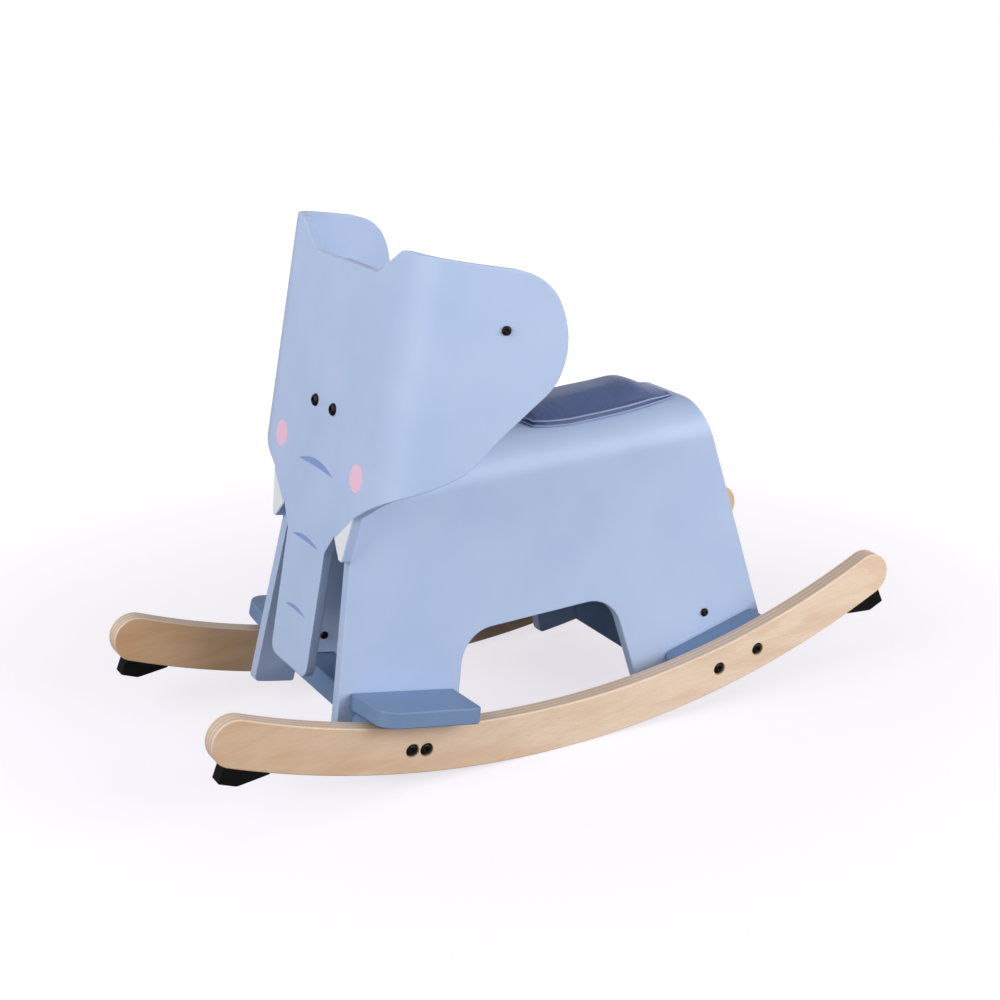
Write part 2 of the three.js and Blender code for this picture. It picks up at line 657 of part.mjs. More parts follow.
// Head outline, right half, from the trunk's end round the ear to the notch
function headBranches() {
  const ear = new THREE.SplineCurve([
    new THREE.Vector2(TUSK_OUTER, TUSK_OUTER_ROOT),
    ...EAR_EDGE_SHARES.map(([a, b]) => new THREE.Vector2(a * HEAD_HALF_SPAN, b * HEAD_TALL)),
  ]).getPoints(EAR_EDGE_SHARES.length * 3);
  const notch = HEAD_TALL - NOTCH_DEEP;
  const low = rounded([
    [0, TRUNK_END],
    [TRUNK_HALF, TRUNK_END, TRUNK_ROUND],
    [TRUNK_HALF + TRUNK_FLARE, TRUNK_FLARE_FROM],
    [TUSK_INNER, TUSK_ROOT],
    [TUSK_TIP_INNER, TUSK_TIP, TUSK_ROUND],
    [TUSK_TIP_OUTER, TUSK_TIP, TUSK_ROUND],
    [TUSK_OUTER, TUSK_OUTER_ROOT],
  ], 4);
  const high = rounded([
    [0, notch],
    [NOTCH_HALF_FLAT, notch, NOTCH_ROUND],
    [NOTCH_HALF_TOP, HEAD_TALL, CROWN_ROUND],
    [EAR_EDGE_SHARES.at(-1)[0] * HEAD_HALF_SPAN, HEAD_TALL],
  ], 4);
  const tip = ear.reduce((best, point, i) => (point.x > ear[best].x ? i : best), 0);
  return {
    low: [...low.slice(0, -1), ...ear.slice(0, tip + 1)],
    high: [...high, ...ear.slice(tip).reverse()].sort((a, b) => a.x - b.x),
  };
}

function heightAt(branch, s) {
  const next = branch.findIndex((point) => point.x >= s);
  if (next <= 0) return branch.at(next).y;
  const [a, b] = [branch[next - 1], branch[next]];
  return a.y + ((b.y - a.y) * (s - a.x)) / (b.x - a.x);
}

// Bent board between its low and high edges, closed from one ear's tip to the other's
function headBoard() {
  const { low, high } = headBranches();
  const stations = [...low, ...high].map((point) => point.x);
  const facets = 12;
  for (let k = 0; k <= facets; k += 1) {
    stations.push(FACE_HALF_FLAT + ((bendEnd - FACE_HALF_FLAT) * k) / facets);
  }
  const half = [...new Set(stations.map((s) => Number(s.toFixed(3))))].sort((a, b) => a - b);
  const near = half.filter((s, i) => i === 0 || s - half[i - 1] > FIT / 4);
  const tip = Math.max(...low.map((point) => point.x));
  near[near.length - 1] = tip;
  const whole = [...near.slice(1).map((s) => -s).reverse(), ...near];
  const positions = [];
  const index = [];
  whole.forEach((s, i) => {
    const span = [heightAt(low, Math.abs(s)), heightAt(high, Math.abs(s))];
    for (const [t, deep] of [[span[0], 0], [span[1], 0], [span[1], HEAD_BOARD], [span[0], HEAD_BOARD]]) {
      positions.push(...onHead(s, t, deep).toArray());
    }
    if (i === 0) return;
    for (let k = 0; k < 4; k += 1) {
      const [a, b] = [4 * (i - 1) + k, 4 * (i - 1) + ((k + 1) % 4)];
      index.push(a, a + 4, b, b, a + 4, b + 4);
    }
  });
  const last = positions.length / 3 - 4;
  index.push(0, 1, 2, 0, 2, 3);
  index.push(last, last + 2, last + 1, last, last + 3, last + 2);
  const geometry = new THREE.BufferGeometry();
  geometry.setAttribute('position', new THREE.BufferAttribute(new Float32Array(positions), 3));
  geometry.setIndex(index);
  return solid(geometry);
}

add('head_panel', surface(drilled(headBoard(), 'eye_bolt', 'handle_bolt')), paint);

// Neck block against the back of the face, on the body's crown
const neckFoot = BODY_TOP + FIT;
const neckFace = (z, deep) => new THREE.Vector2(bodyFront + faceTan * z + deep / Math.cos(FACE_LEAN), z);
const neck = across([
  neckFace(neckFoot, 0), neckFace(neckFoot, NECK_DEEP),
  neckFace(neckFoot + NECK_TALL - NECK_DEEP * Math.sin(FACE_LEAN), NECK_DEEP),
  neckFace(neckFoot + NECK_TALL, 0),
], -NECK_HALF_WIDE, NECK_HALF_WIDE);
add('neck_block', surface(drilled(neck, 'eye_bolt', 'neck_screw')), shadePaint);

// Handle bar, its ends cut to the ears' inner faces
function handleBar() {
  const axis = onHead(barSpanPlace, barHeightPlace, HEAD_BOARD);
  const bar = new THREE.CylinderGeometry(BAR_RADIUS, BAR_RADIUS, 2 * axis.x + OVERRUN, 20);
  bar.rotateZ(Math.PI / 2);
  bar.translate(0, axis.y, axis.z);
  let result = solid(bar);
  for (const side of Object.values(SIDES)) {
    const block = new THREE.BoxGeometry(OVERRUN, OVERRUN, OVERRUN);
    block.translate(0, 0, OVERRUN / 2 - FIT);
    block.applyQuaternion(new THREE.Quaternion().setFromUnitVectors(UP, headOut(side * barSpanPlace)));
    block.translate(side * axis.x, axis.y, axis.z);
    result = result.subtract(solid(block));
  }
  return result;
}

add('handle_bar', surface(drilled(handleBar(), 'handle_bolt')), shadePaint);

// Seat board, screwed to the crown of the body from below
const seatBase = BODY_TOP + FIT;
const seatBoardEnds = [seatFront + SEAT_BOARD_INSET, seatRear - SEAT_BOARD_INSET];

function seatBoard(gap) {
  const ends = [seatBoardEnds[0] - gap, seatBoardEnds[1] + gap];
  const half = SEAT_BOARD_HALF + gap;
  const round = SEAT_BOARD_ROUND + gap;
  const plan = rounded([
    [-half, ends[0], round], [half, ends[0], round], [half, ends[1], round], [-half, ends[1], round],
  ]);
  const low = seatBase - (gap ? OVERRUN : 0);
  return solid(prism(plan, low, seatBase + SEAT_BOARD + gap, new THREE.Matrix4()));
}

add('seat_board', surface(drilled(seatBoard(0), 'seat_screw')), beech);

// Cushion: rings of one barrel-sided plan, from the middle of its underside round its welt
// and over a stitched channel to its crown
function cushion() {
  const middle = (seatRear + seatFront) / 2;
  const halfLong = SEAT_LONG / 2;
  const sectionShares = [
    [0.5, 0], [0.85, 0], [0.96, 0.2], [1, 0.5], [0.99, 0.8], [0.965, 1], [0.945, 1],
    [0.9, 1.28], [0.8, 1.62], [0.66, 1.88], [0.48, 2.02], [0.26, 2.1],
  ];
  const topShare = 2.12;
  const seam = 6;
  const around = 36;
  const positions = [0, middle, seatBase];
  const index = [];
  sectionShares.forEach(([spread, climb], ring) => {
    const welt = Math.min(climb, 1) * 2 * SEAT_WELT;
    const crown = (Math.max(climb - 1, 0) / (topShare - 1)) * (SEAT_CROWN - 2 * SEAT_WELT);
    const dip = ring === seam ? SEAT_SEAM_DEEP : 0;
    for (let k = 0; k < around; k += 1) {
      const angle = (2 * Math.PI * k) / around;
      const [c, s] = [Math.cos(angle), Math.sin(angle)];
      const x = SEAT_HALF_WIDE * Math.sign(c) * Math.abs(c) ** (2 / 2.6);
      const y = halfLong * Math.sign(s) * Math.abs(s) ** (2 / 5);
      positions.push(spread * x, middle + spread * y, seatBase + welt + crown - dip);
    }
    if (ring === 0) return;
    const start = 1 + around * (ring - 1);
    for (let k = 0; k < around; k += 1) {
      const [a, b] = [start + k, start + ((k + 1) % around)];
      index.push(a, b, a + around, b, b + around, a + around);
    }
  });
  const crownPoint = positions.length / 3;
  positions.push(0, middle, seatBase + SEAT_CROWN);
  const last = crownPoint - around;
  for (let k = 0; k < around; k += 1) {
    const next = (k + 1) % around;
    index.push(0, 1 + next, 1 + k);
    index.push(crownPoint, last + k, last + next);
  }
  const geometry = new THREE.BufferGeometry();
  geometry.setAttribute('position', new THREE.BufferAttribute(new Float32Array(positions), 3));
  geometry.setIndex(index);
  return solid(geometry).subtract(seatBoard(FIT));
}

add('seat_cushion', surface(cushion()), leatherette);

for (const { name, size, long, seat, out } of joints) addFastener(name, size, long, seat, out);

// Lean the level toy about the arc's centre, then stand it on its lowest facet with its
// origin under the middle of its length
const stand = new THREE.Group();
const arcCentre = ROCK_RADIUS * Math.cos(ROCK_FACET / 2);
const lengthShift = bandMiddle * Math.cos(Math.asin(ROCK_REACH / bandMiddle)) * Math.sin(REST_TILT);
toy.position.set(0, 0, -ROCK_RADIUS);
stand.add(toy);
stand.rotation.x = REST_TILT;
stand.position.set(0, -lengthShift, arcCentre);

const elephant = new THREE.Group();
elephant.add(stand);

export default elephant;
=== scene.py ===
import math
from functools import partial

import bpy
import numpy as np
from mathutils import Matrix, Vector
from mathutils.geometry import delaunay_2d_cdt


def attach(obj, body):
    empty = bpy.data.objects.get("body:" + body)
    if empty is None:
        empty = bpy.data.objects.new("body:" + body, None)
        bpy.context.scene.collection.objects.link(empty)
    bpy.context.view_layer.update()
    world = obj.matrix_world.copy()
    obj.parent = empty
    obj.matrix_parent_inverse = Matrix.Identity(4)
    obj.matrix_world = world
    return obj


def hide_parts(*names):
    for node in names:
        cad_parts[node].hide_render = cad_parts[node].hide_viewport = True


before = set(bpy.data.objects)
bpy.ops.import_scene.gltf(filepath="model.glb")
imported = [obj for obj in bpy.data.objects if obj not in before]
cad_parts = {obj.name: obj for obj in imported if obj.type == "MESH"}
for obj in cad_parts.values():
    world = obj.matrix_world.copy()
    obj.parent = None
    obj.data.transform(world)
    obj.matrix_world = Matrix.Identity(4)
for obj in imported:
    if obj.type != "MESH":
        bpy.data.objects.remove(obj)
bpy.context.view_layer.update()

# Rocking elephant: bent, lacquered plywood on two beech rockers.
# Sizes are millimetres in the level drawing of the toy, as its solids have them:
# the elephant faces -Y, +X is its left, +Z is up.
DEG = math.pi / 180
FIT = 0.3
ROUND = 48
REST_TILT = 1.7 * DEG
REST_SHIFT = 21.583

ROCK_RADIUS = 811.8
ROCK_BAND = 40.2
ROCK_BOARD = 16
ROCK_TRACK = 124.3
ROCK_REACH = 312.2
RUN_RADIUS = ROCK_RADIUS * math.cos(1 * DEG)
BAND_MIDDLE = ROCK_RADIUS - ROCK_BAND / 2
ROCK_TOP = ROCK_RADIUS - ROCK_BAND
ROCK_INNER = ROCK_TRACK - ROCK_BOARD
ROCK_END = math.asin(ROCK_REACH / BAND_MIDDLE)

STOP_TOE = 24.2
STOP_DROP = 14
STOP_OVER = 4
STOP_THICK_FROM = 8.4
STOP_LENGTH = 36
STOP_WIDTH = 14
STOP_SINK = 4

BODY_BOARD = 10.8
BODY_HALF_FOOT = ROCK_INNER - 13.2
BODY_SPLAY = 8.24 * DEG
BODY_TOP = 257
BODY_BEND = 37
BEND_HUB = (BODY_HALF_FOOT - math.tan(BODY_SPLAY) * (BODY_TOP - BODY_BEND)
            - BODY_BEND / math.cos(BODY_SPLAY))
BEND_TURN = math.pi / 2 - BODY_SPLAY
BEND_END = BEND_HUB + BODY_BEND * BEND_TURN
BEND_LOW = BODY_TOP - BODY_BEND + BODY_BEND * math.sin(BODY_SPLAY)
LEG_LIFT = 1.8
LEG_ROUND = 6
ARCH_TOP = 106.2
ARCH_ROUND = 32
REAR_REACH = 225.2
REAR_LEAN = 12.1 * DEG
REAR_TAN = math.tan(REAR_LEAN)

HEAD_BOARD = 8.4
FACE_REACH = 235.5
FACE_LEAN = 12.5 * DEG
FACE_TAN = math.tan(FACE_LEAN)
FACE_HALF_FLAT = 91.7
EAR_BEND = 50
EAR_SPLAY = 13 * DEG
EAR_TURN = math.pi / 2 - EAR_SPLAY
EAR_BEND_END = FACE_HALF_FLAT + EAR_BEND * EAR_TURN
HEAD_TALL = 448.2
HEAD_HALF_SPAN = 241.7
NOTCH_DEEP = 23.9
CHEEK_OUT, CHEEK_UP, CHEEK_RADIUS = 73.8, 264, 11.25
INK_FILM = 0.1
INK_SUNK = 0.04
EYE_APART = 17.3
EYE_PLACE = (BODY_TOP + 42) / math.cos(FACE_LEAN)
BAR_SPAN = HEAD_HALF_SPAN - 51.7
BAR_HEIGHT = HEAD_TALL - 46.2
BAR_RADIUS = 8.5
BAR_BREAK = 1

BODY_FRONT = -FACE_REACH + (HEAD_BOARD + FIT) / math.cos(FACE_LEAN)
ARCH_FRONT = BODY_FRONT + 113.2
ARCH_REAR = REAR_REACH - 145.2
FRONT_BOLTS = [BODY_FRONT + 62, BODY_FRONT + 74.7]
REAR_BOLTS = [REAR_REACH - 84.2, REAR_REACH - 42.2]
FRONT_ANGLE = math.asin(sum(FRONT_BOLTS) / 2 / BAND_MIDDLE)
REAR_ANGLE = math.asin(sum(REAR_BOLTS) / 2 / BAND_MIDDLE)
FOOTREST_BOLT = BODY_FRONT + 75.3
STRETCHER_BOLT = REAR_REACH - 73
STRETCHER_RISE = ROCK_RADIUS - math.sqrt(ROCK_TOP ** 2 - STRETCHER_BOLT ** 2) + 15.3

BEAM_WIDE = 33
BEAM_THICK = 21.3
BEAM_MIDDLE = BAND_MIDDLE + 1.8
BEAM_GAP = 3.2
WALL_BOARD = 16
BLOCK_BOARD = 12
WALL_REACH = REAR_REACH - 102.6
WALL_TOP = 165
STRETCHER_WIDE = 40
STRETCHER_TALL = 26
BLOCK_SOLE = ROCK_RADIUS - 6
BLOCK_ROUND = 10
FRONT_BLOCK = 46, 44
REAR_BLOCK = 54, 47.5
FOOTREST_BOARD = 13.9
FOOTREST_UNDER = ROCK_TOP - 2.4
FOOTREST_TOP = FOOTREST_UNDER - FOOTREST_BOARD
FOOTREST_OVERHANG = 21.5
FOOTREST_RISE = 6 * DEG
FOOTREST_FRONT = 48
FOOTREST_REAR = 46
FOOTREST_TAPER = 5
NECK_HALF_WIDE = 26
NECK_DEEP = 22
NECK_TALL = 72

SEAT_REAR = REAR_REACH - 67.2
SEAT_FRONT = SEAT_REAR - 173
SEAT_BASE = BODY_TOP + FIT
SEAT_BOARD = 4
SEAT_BOARD_HALF_WIDE = 22
SEAT_SCREW_IN = 44

BOLT = dict(shank=3, head=5.25, tall=2.8, rim=0.9, crown=3.1, socket=1.9, deep=1.5)
SMALL_BOLT = dict(shank=2, head=3.8, tall=2.2, rim=0.7, crown=2.3, socket=1.4, deep=1)
SCREW = dict(shank=2, head=3.6, tall=2.1, rim=0.7, crown=2.2, socket=1.25, deep=1)
BOLT_SINK = 3.6
BOLT_SINK_RADIUS = 5.9
SINK_LIP = 0.35
SINK_FOOT = 0.3
VENEER = 1.2
ROCKER_PLY = ROCK_BOARD / 7

LAMP_AIM = (0, 0, 0.2)
CAMERA_RISE = 18.56
CAMERA_TURN = 60.25


# ---- Where things are ----

def rest(points):
    """Metres at rest from level millimetres: leaned nose down about the rockers' centre, then stood on the floor."""
    x, y, z = np.asarray(points, float).T
    c, s = math.cos(REST_TILT), math.sin(REST_TILT)
    rise = z - ROCK_RADIUS
    return np.stack([x, y * c - rise * s - REST_SHIFT, RUN_RADIUS + y * s + rise * c], 1) / 1000


def tangent(angle, run, depth):
    """Side-view point (y, z): depth below the rockers' centre at an angle, then run along the tangent there."""
    angle, run, depth = np.broadcast_arrays(angle, run, np.asarray(depth, float))
    return np.stack([depth * np.sin(angle) + run * np.cos(angle),
                     ROCK_RADIUS - depth * np.cos(angle) + run * np.sin(angle)], -1)


def on_arc(radius, y):
    """Side-view points of the rockers' circle of a radius, at lengths y."""
    y = np.asarray(y, float)
    return np.stack([y, ROCK_RADIUS - np.sqrt(radius ** 2 - y ** 2)], -1)


def foot_of(reach, lean):
    """Where a leg side that leans by an angle meets the circle of the legs' soles."""
    radius = ROCK_RADIUS - LEG_LIFT
    swing = (reach + math.tan(lean) * ROCK_RADIUS) * math.cos(lean) / radius
    return on_arc(radius, radius * math.sin(math.asin(swing) - lean))


def leg_x(z, deep=0.0):
    """Half width of the body at a height on its straight legs, deep into the board."""
    return BODY_HALF_FOOT - math.tan(BODY_SPLAY) * z - deep / math.cos(BODY_SPLAY)


def hoop_height(u):
    """Height of the body's outer face at a length u along the hoop from the middle of its crown."""
    turn = np.clip((np.abs(u) - BEND_HUB) / BODY_BEND, 0, BEND_TURN)
    run = np.maximum(np.abs(u) - BEND_END, 0)
    return BODY_TOP - BODY_BEND + BODY_BEND * np.cos(turn) - run * math.cos(BODY_SPLAY)


def on_body(u, y, deep):
    """Body board: u runs along the hoop from the crown's middle, y along the toy.
    Flat crown, then an arc of BODY_BEND, then the splayed leg; the cuts stay upright, so on the
    legs the inner face slides up along the leg, and on the crown the end cuts keep their lean."""
    side, run = np.sign(u), np.abs(u)
    turn = np.clip((run - BEND_HUB) / BODY_BEND, 0, BEND_TURN)
    run = run - deep * math.tan(BODY_SPLAY) * turn / BEND_TURN
    turn = np.clip((run - BEND_HUB) / BODY_BEND, 0, BEND_TURN)
    leg = np.maximum(run - BEND_END, 0)
    radius = BODY_BEND - deep
    x = np.minimum(run, BEND_HUB) + radius * np.sin(turn) + leg * math.sin(BODY_SPLAY)
    z = BODY_TOP - BODY_BEND + radius * np.cos(turn) - leg * math.cos(BODY_SPLAY)
    lean = np.interp(y, [-180, 180], [FACE_TAN, -REAR_TAN])
    return np.stack([side * x, y + lean * (z - hoop_height(u)) * (turn < BEND_TURN), z], 1)


def on_head(s, t, deep):
    """Head board: s runs out from the face's middle, t up the face. Flat face, an arc of EAR_BEND, the flat ear,
    all leaned back by FACE_LEAN."""
    side, run = np.where(s < 0, -1.0, 1.0), np.abs(s)
    turn = np.clip((run - FACE_HALF_FLAT) / EAR_BEND, 0, EAR_TURN)
    ear = np.maximum(run - EAR_BEND_END, 0)
    out = np.minimum(run, FACE_HALF_FLAT) + (EAR_BEND - deep) * np.sin(turn) + ear * math.sin(EAR_SPLAY)
    back = EAR_BEND - (EAR_BEND - deep) * np.cos(turn) + ear * math.cos(EAR_SPLAY)
    c, k = math.cos(FACE_LEAN), math.sin(FACE_LEAN)
    return np.stack([side * out, -FACE_REACH + t * k + back * c, t * c - back * k], 1)


def head_point(s, t, deep=0.0):
    """One point of the head board."""
    return on_head(np.array([s]), np.array([t]), deep)[0]


def head_out(s):
    """Outward direction of the head board's front at s."""
    turn = min(max((abs(s) - FACE_HALF_FLAT) / EAR_BEND, 0), EAR_TURN)
    c, k = math.cos(FACE_LEAN), math.sin(FACE_LEAN)
    return np.array([math.copysign(math.sin(turn), s), -math.cos(turn) * c, math.cos(turn) * k])


# ---- Outlines ----

def unit(steps):
    """Steps with their length, along the last axis, made one."""
    return steps / np.linalg.norm(steps, axis=-1, keepdims=True)


def spokes(count):
    """Cosines and sines of that many even turns."""
    angle = np.linspace(0, 2 * np.pi, count, endpoint=False)
    return np.cos(angle), np.sin(angle)


def rounded(corners, turn=8):
    """Closed outline whose corners (a, b, radius) become arcs tangent to both sides, or stay sharp without a radius."""
    outline, count = [], len(corners)
    for i, (a, b, *radius) in enumerate(corners):
        here = np.array([a, b], float)
        if not radius or not radius[0]:
            outline.append(here[None])
            continue
        back = np.array(corners[i - 1][:2], float) - here
        ahead = np.array(corners[(i + 1) % count][:2], float) - here
        shorter = min(np.linalg.norm(back), np.linalg.norm(ahead))
        back, ahead = unit(back), unit(ahead)
        half = math.acos(np.clip(back @ ahead, -1, 1)) / 2
        reach = min(radius[0] / math.tan(half), shorter / 2)
        curve = reach * math.tan(half)
        hub = here + unit(back + ahead) * curve / math.sin(half)
        start, end = here + back * reach - hub, here + ahead * reach - hub
        first = math.atan2(start[1], start[0])
        sweep = (math.atan2(end[1], end[0]) - first + math.pi) % (2 * math.pi) - math.pi
        angle = first + sweep * np.linspace(0, 1, turn + 1)
        outline.append(hub + curve * np.stack([np.cos(angle), np.sin(angle)], 1))
    return np.concatenate(outline)


def dense(outline, step):
    """The same closed outline with its sides divided evenly, so that none is longer than step."""
    ahead = np.roll(outline, -1, 0) - outline
    parts = np.maximum(np.ceil(np.linalg.norm(ahead, axis=1) / step - 1e-6).astype(int), 1)
    start = np.repeat(np.arange(len(outline)), parts)
    share = (np.arange(len(start)) - np.repeat(np.cumsum(parts) - parts, parts)) / parts[start]
    return outline[start] + share[:, None] * ahead[start]


def corners_out(outline):
    """At each point of a counterclockwise outline, the step outwards that moves both its sides out by one."""
    side = unit(np.roll(outline, -1, 0) - outline)
    normal = np.stack([side[:, 1], -side[:, 0]], 1)
    before = np.roll(normal, 1, 0)
    return (normal + before) / (1 + (normal * before).sum(1))[:, None].clip(0.3)


def oblong(left, low, right, high, foot=0, top=0, turn=4):
    """Rectangle with its two lower corners rounded by foot and its two upper ones by top."""
    return rounded([(left, low, foot), (right, low, foot), (right, high, top), (left, high, top)], turn)


def circle(a, b, radius):
    """Counterclockwise circle."""
    c, k = spokes(ROUND)
    return np.stack([a + radius * c, b + radius * k], 1)


def spline(knots, each):
    """Uniform Catmull-Rom curve through the knots, with that many steps between two of them."""
    p = np.concatenate([knots[:1], knots, knots[-1:]])
    t = (np.arange(each) / each)[None, :, None]
    a, b, c, d = (p[i:len(p) - 3 + i, None] for i in range(4))
    curve = ((2 * t ** 3 - 3 * t ** 2 + 1) * b + (t ** 3 - 2 * t ** 2 + t) * (c - a) / 2
             + (3 * t ** 2 - 2 * t ** 3) * c + (t ** 3 - t ** 2) * (d - b) / 2)
    return np.concatenate([curve.reshape(-1, 2), knots[-1:]])


# ---- Meshes ----

def fill(loops, columns=(), rows=()):
    """Flat triangles between closed loops, the first counterclockwise and round the others, which are round holes: a
    triangle with all its corners on one hole is left out. A grid of columns and rows, kept where an even-odd count of
    crossed sides says it is inside, gives them points to bend at."""
    inside = np.zeros((0, 2))
    if len(columns):
        grid = np.stack(np.meshgrid(columns, rows), -1).reshape(-1, 2)
        odd = np.zeros(len(grid), bool)
        for loop in loops:
            a = loop - 0.9 * corners_out(loop)
            b = np.roll(a, -1, 0)
            up = (a[None, :, 1] > grid[:, None, 1]) != (b[None, :, 1] > grid[:, None, 1])
            rise = np.where(b[:, 1] == a[:, 1], 1, b[:, 1] - a[:, 1])
            cross = a[None, :, 0] + (grid[:, None, 1] - a[None, :, 1]) * ((b - a)[:, 0] / rise)[None]
            odd ^= ((up & (grid[:, None, 0] < cross)).sum(1) % 2).astype(bool)
        inside = grid[odd]
    points = np.concatenate([*loops, inside])
    edges, start = [], 0
    for loop in loops:
        n = np.arange(len(loop))
        edges.append(np.stack([start + n, start + np.roll(n, -1)], 1))
        start += len(loop)
    _, _, faces, origin, *_ = delaunay_2d_cdt(
        list(map(Vector, points.tolist())), np.concatenate(edges).tolist(), [], 2, 1e-5)
    number = np.array([o[0] for o in origin])
    faces = number[np.array(faces)]
    ring = np.repeat(np.arange(len(loops) + 1), [*map(len, loops), len(inside)])[faces]
    faces = faces[(ring[:, 0] % len(loops) == 0) | (ring.min(1) != ring.max(1))]
    a, b, c = (points[faces[:, i]] for i in range(3))
    turned = (b[:, 0] - a[:, 0]) * (c[:, 1] - a[:, 1]) - (b[:, 1] - a[:, 1]) * (c[:, 0] - a[:, 0]) < 0
    faces[turned] = faces[turned][:, ::-1]
    return inside, faces


def ring_quads(rings, count, closed=True):
    """Quads between neighbouring rings of count points each, facing away from a ring that climbs counterclockwise."""
    n = np.arange(count if closed else count - 1)
    start = np.arange(rings - 1)[:, None] * count
    a, b = start + n, start + (n + 1) % count
    return np.stack([a, a + count, b + count, b], -1).reshape(-1, 4)


def new_mesh(points, faces, normals=None, sides=(1, 1), **attributes):
    """Mesh from level millimetres, mirrored by sides in x and y, with its vertex normals where they are known."""
    mirror = np.array([*sides, 1.0])
    if sides[0] * sides[1] < 0:
        faces = [f[:, ::-1] for f in faces]
    mesh = bpy.data.meshes.new("shape")
    mesh.from_pydata(rest(points * mirror).tolist(), [], [row for f in faces for row in f.tolist()])
    mesh.shade_smooth()
    for key, values in attributes.items():
        kind, field = ("FLOAT", "value") if values.ndim == 1 else ("FLOAT_VECTOR", "vector")
        mesh.attributes.new(key, kind, "POINT").data.foreach_set(field, values.astype(np.float32).ravel())
    if normals is not None:
        turned = unit(rest(normals * mirror) - rest(np.zeros((1, 3))))
        mesh.normals_split_custom_set_from_vertices(turned.tolist())
    return mesh


def link(name, data):
    """An object with that data, in the scene."""
    made = bpy.data.objects.new(name, data)
    bpy.context.scene.collection.objects.link(made)
    return made


def show(name, mesh, material, slot, *nodes):
    """The finished piece, riding on the toy and standing for its solids."""
    mesh.name = name
    mesh.materials.append(material)
    piece = link(name, mesh)
    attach(piece, "root")
    if nodes:
        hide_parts(*nodes)
    return piece


def across(start):
    """Place of a board that stands along the toy, deep towards the right from x = start."""
    return lambda y, z, deep: np.stack([start - deep, y, z], 1)


def board(outline, place, thick, edge, sides=(1, 1), columns=(), rows=(), sinks=(), turn=4):
    """Board of an outline in its own plan (u, v), bent by place(u, v, deep).
    Its edge is one profile carried round the outline: a quarter round drawn in by edge * (1 - sin) at a depth of
    edge * (1 - cos), the straight cut, and the same quarter round at the back. Both faces are filled plans.
    A sink (u, v, radius, deep) is a round blind recess in the front with a broken lip."""
    angle = np.linspace(0, np.pi / 2, turn + 1)
    c, k = np.cos(angle), np.sin(angle)
    parts, faces, loops, numbers = [], [], [], []

    def carry(rings, deep, face, cut, way):
        """Rings with their depths, their normals' shares along the face's and along the way out, and that way."""
        each, start = rings.shape[1], sum(len(part[0]) for part in parts)
        parts.append([rings.reshape(-1, 2), *(np.repeat(a, each) for a in (deep, face, cut)),
                      np.tile(way, (len(rings), 1))])
        faces.append(start + ring_quads(len(rings), each))
        loops.append(rings[0])
        numbers.append(start + np.arange(each))

    out = corners_out(outline)
    inset, depth = edge * (1 - k), edge * (1 - c)
    carry(outline - np.r_[inset, inset[::-1]][:, None, None] * out, np.r_[depth, thick - depth[::-1]],
          np.r_[c, -c[::-1]], np.r_[k, k[::-1]], unit(out))
    for u, v, radius, sunk in sinks:
        hole = circle(0, 0, 1)[::-1]
        spread = np.r_[radius + SINK_LIP * (1 - k), radius, radius - SINK_FOOT, radius / 2]
        carry([u, v] + spread[:, None, None] * hole, np.r_[SINK_LIP * (1 - c), sunk - SINK_FOOT, sunk, sunk],
              np.r_[c, 0, 1, 1], np.r_[k, 1, 0, 0], -hole)
        faces.append((numbers[-1] + (len(spread) - 1) * len(hole))[None, ::-1])
    inside, front = fill(loops, columns, rows)
    behind, back = fill(loops[:1], columns, rows) if sinks else (inside, front)
    last = numbers[0] + (2 * turn + 1) * len(outline)
    for flat, deep, face, rim, tris in ((inside, 0.0, 1.0, numbers, front),
                                        (behind, thick, -1.0, [last], back[:, ::-1])):
        start, many = sum(len(part[0]) for part in parts), len(flat)
        faces.append(np.concatenate([*rim, start + np.arange(many)])[tris])
        parts.append([flat, np.full(many, float(deep)), np.full(many, face), np.zeros(many), np.zeros((many, 2))])
    plan, deep, face, cut, way = map(np.concatenate, zip(*parts))
    u, v, step = plan[:, 0], plan[:, 1], 0.02
    along_u = unit(place(u + step, v, deep) - place(u - step, v, deep))
    along_v = unit(place(u, v + step, deep) - place(u, v - step, deep))
    outside = unit(place(u, v, deep - step) - place(u, v, deep + step))
    normals = face[:, None] * outside + cut[:, None] * (way[:, :1] * along_u + way[:, 1:] * along_v)
    return new_mesh(place(u, v, deep), faces, normals, sides, plan=np.stack([u, v, deep], 1), cut=cut)


# ---- Finishes ----

def linear(colour):
    """Linear colour from sRGB hex."""
    value = np.array([int(colour[i:i + 2], 16) for i in (0, 2, 4)]) / 255
    return (*np.where(value <= 0.04045, value / 12.92, ((value + 0.055) / 1.055) ** 2.4), 1.0)


def add_node(tree, kind, inputs=None, out=None, **settings):
    """Adds a node with its settings; inputs gives each socket a value, a colour in sRGB hex, or the output that feeds
    it. Returns the output asked for, or else the first one in use."""
    made = tree.nodes.new("ShaderNode" + kind)
    for key, value in settings.items():
        setattr(made, key, value)
    for key, value in (inputs or {}).items():
        if isinstance(value, bpy.types.NodeSocket):
            tree.links.new(value, made.inputs[key])
        else:
            made.inputs[key].default_value = linear(value) if isinstance(value, str) else value
    return next((o for o in made.outputs if o.enabled), None) if out is None else made.outputs[out]


def emptied(block):
    """Empties the tree of a material or world and gives the function that adds nodes to it."""
    block.use_nodes = True
    block.node_tree.nodes.clear()
    return partial(add_node, block.node_tree)


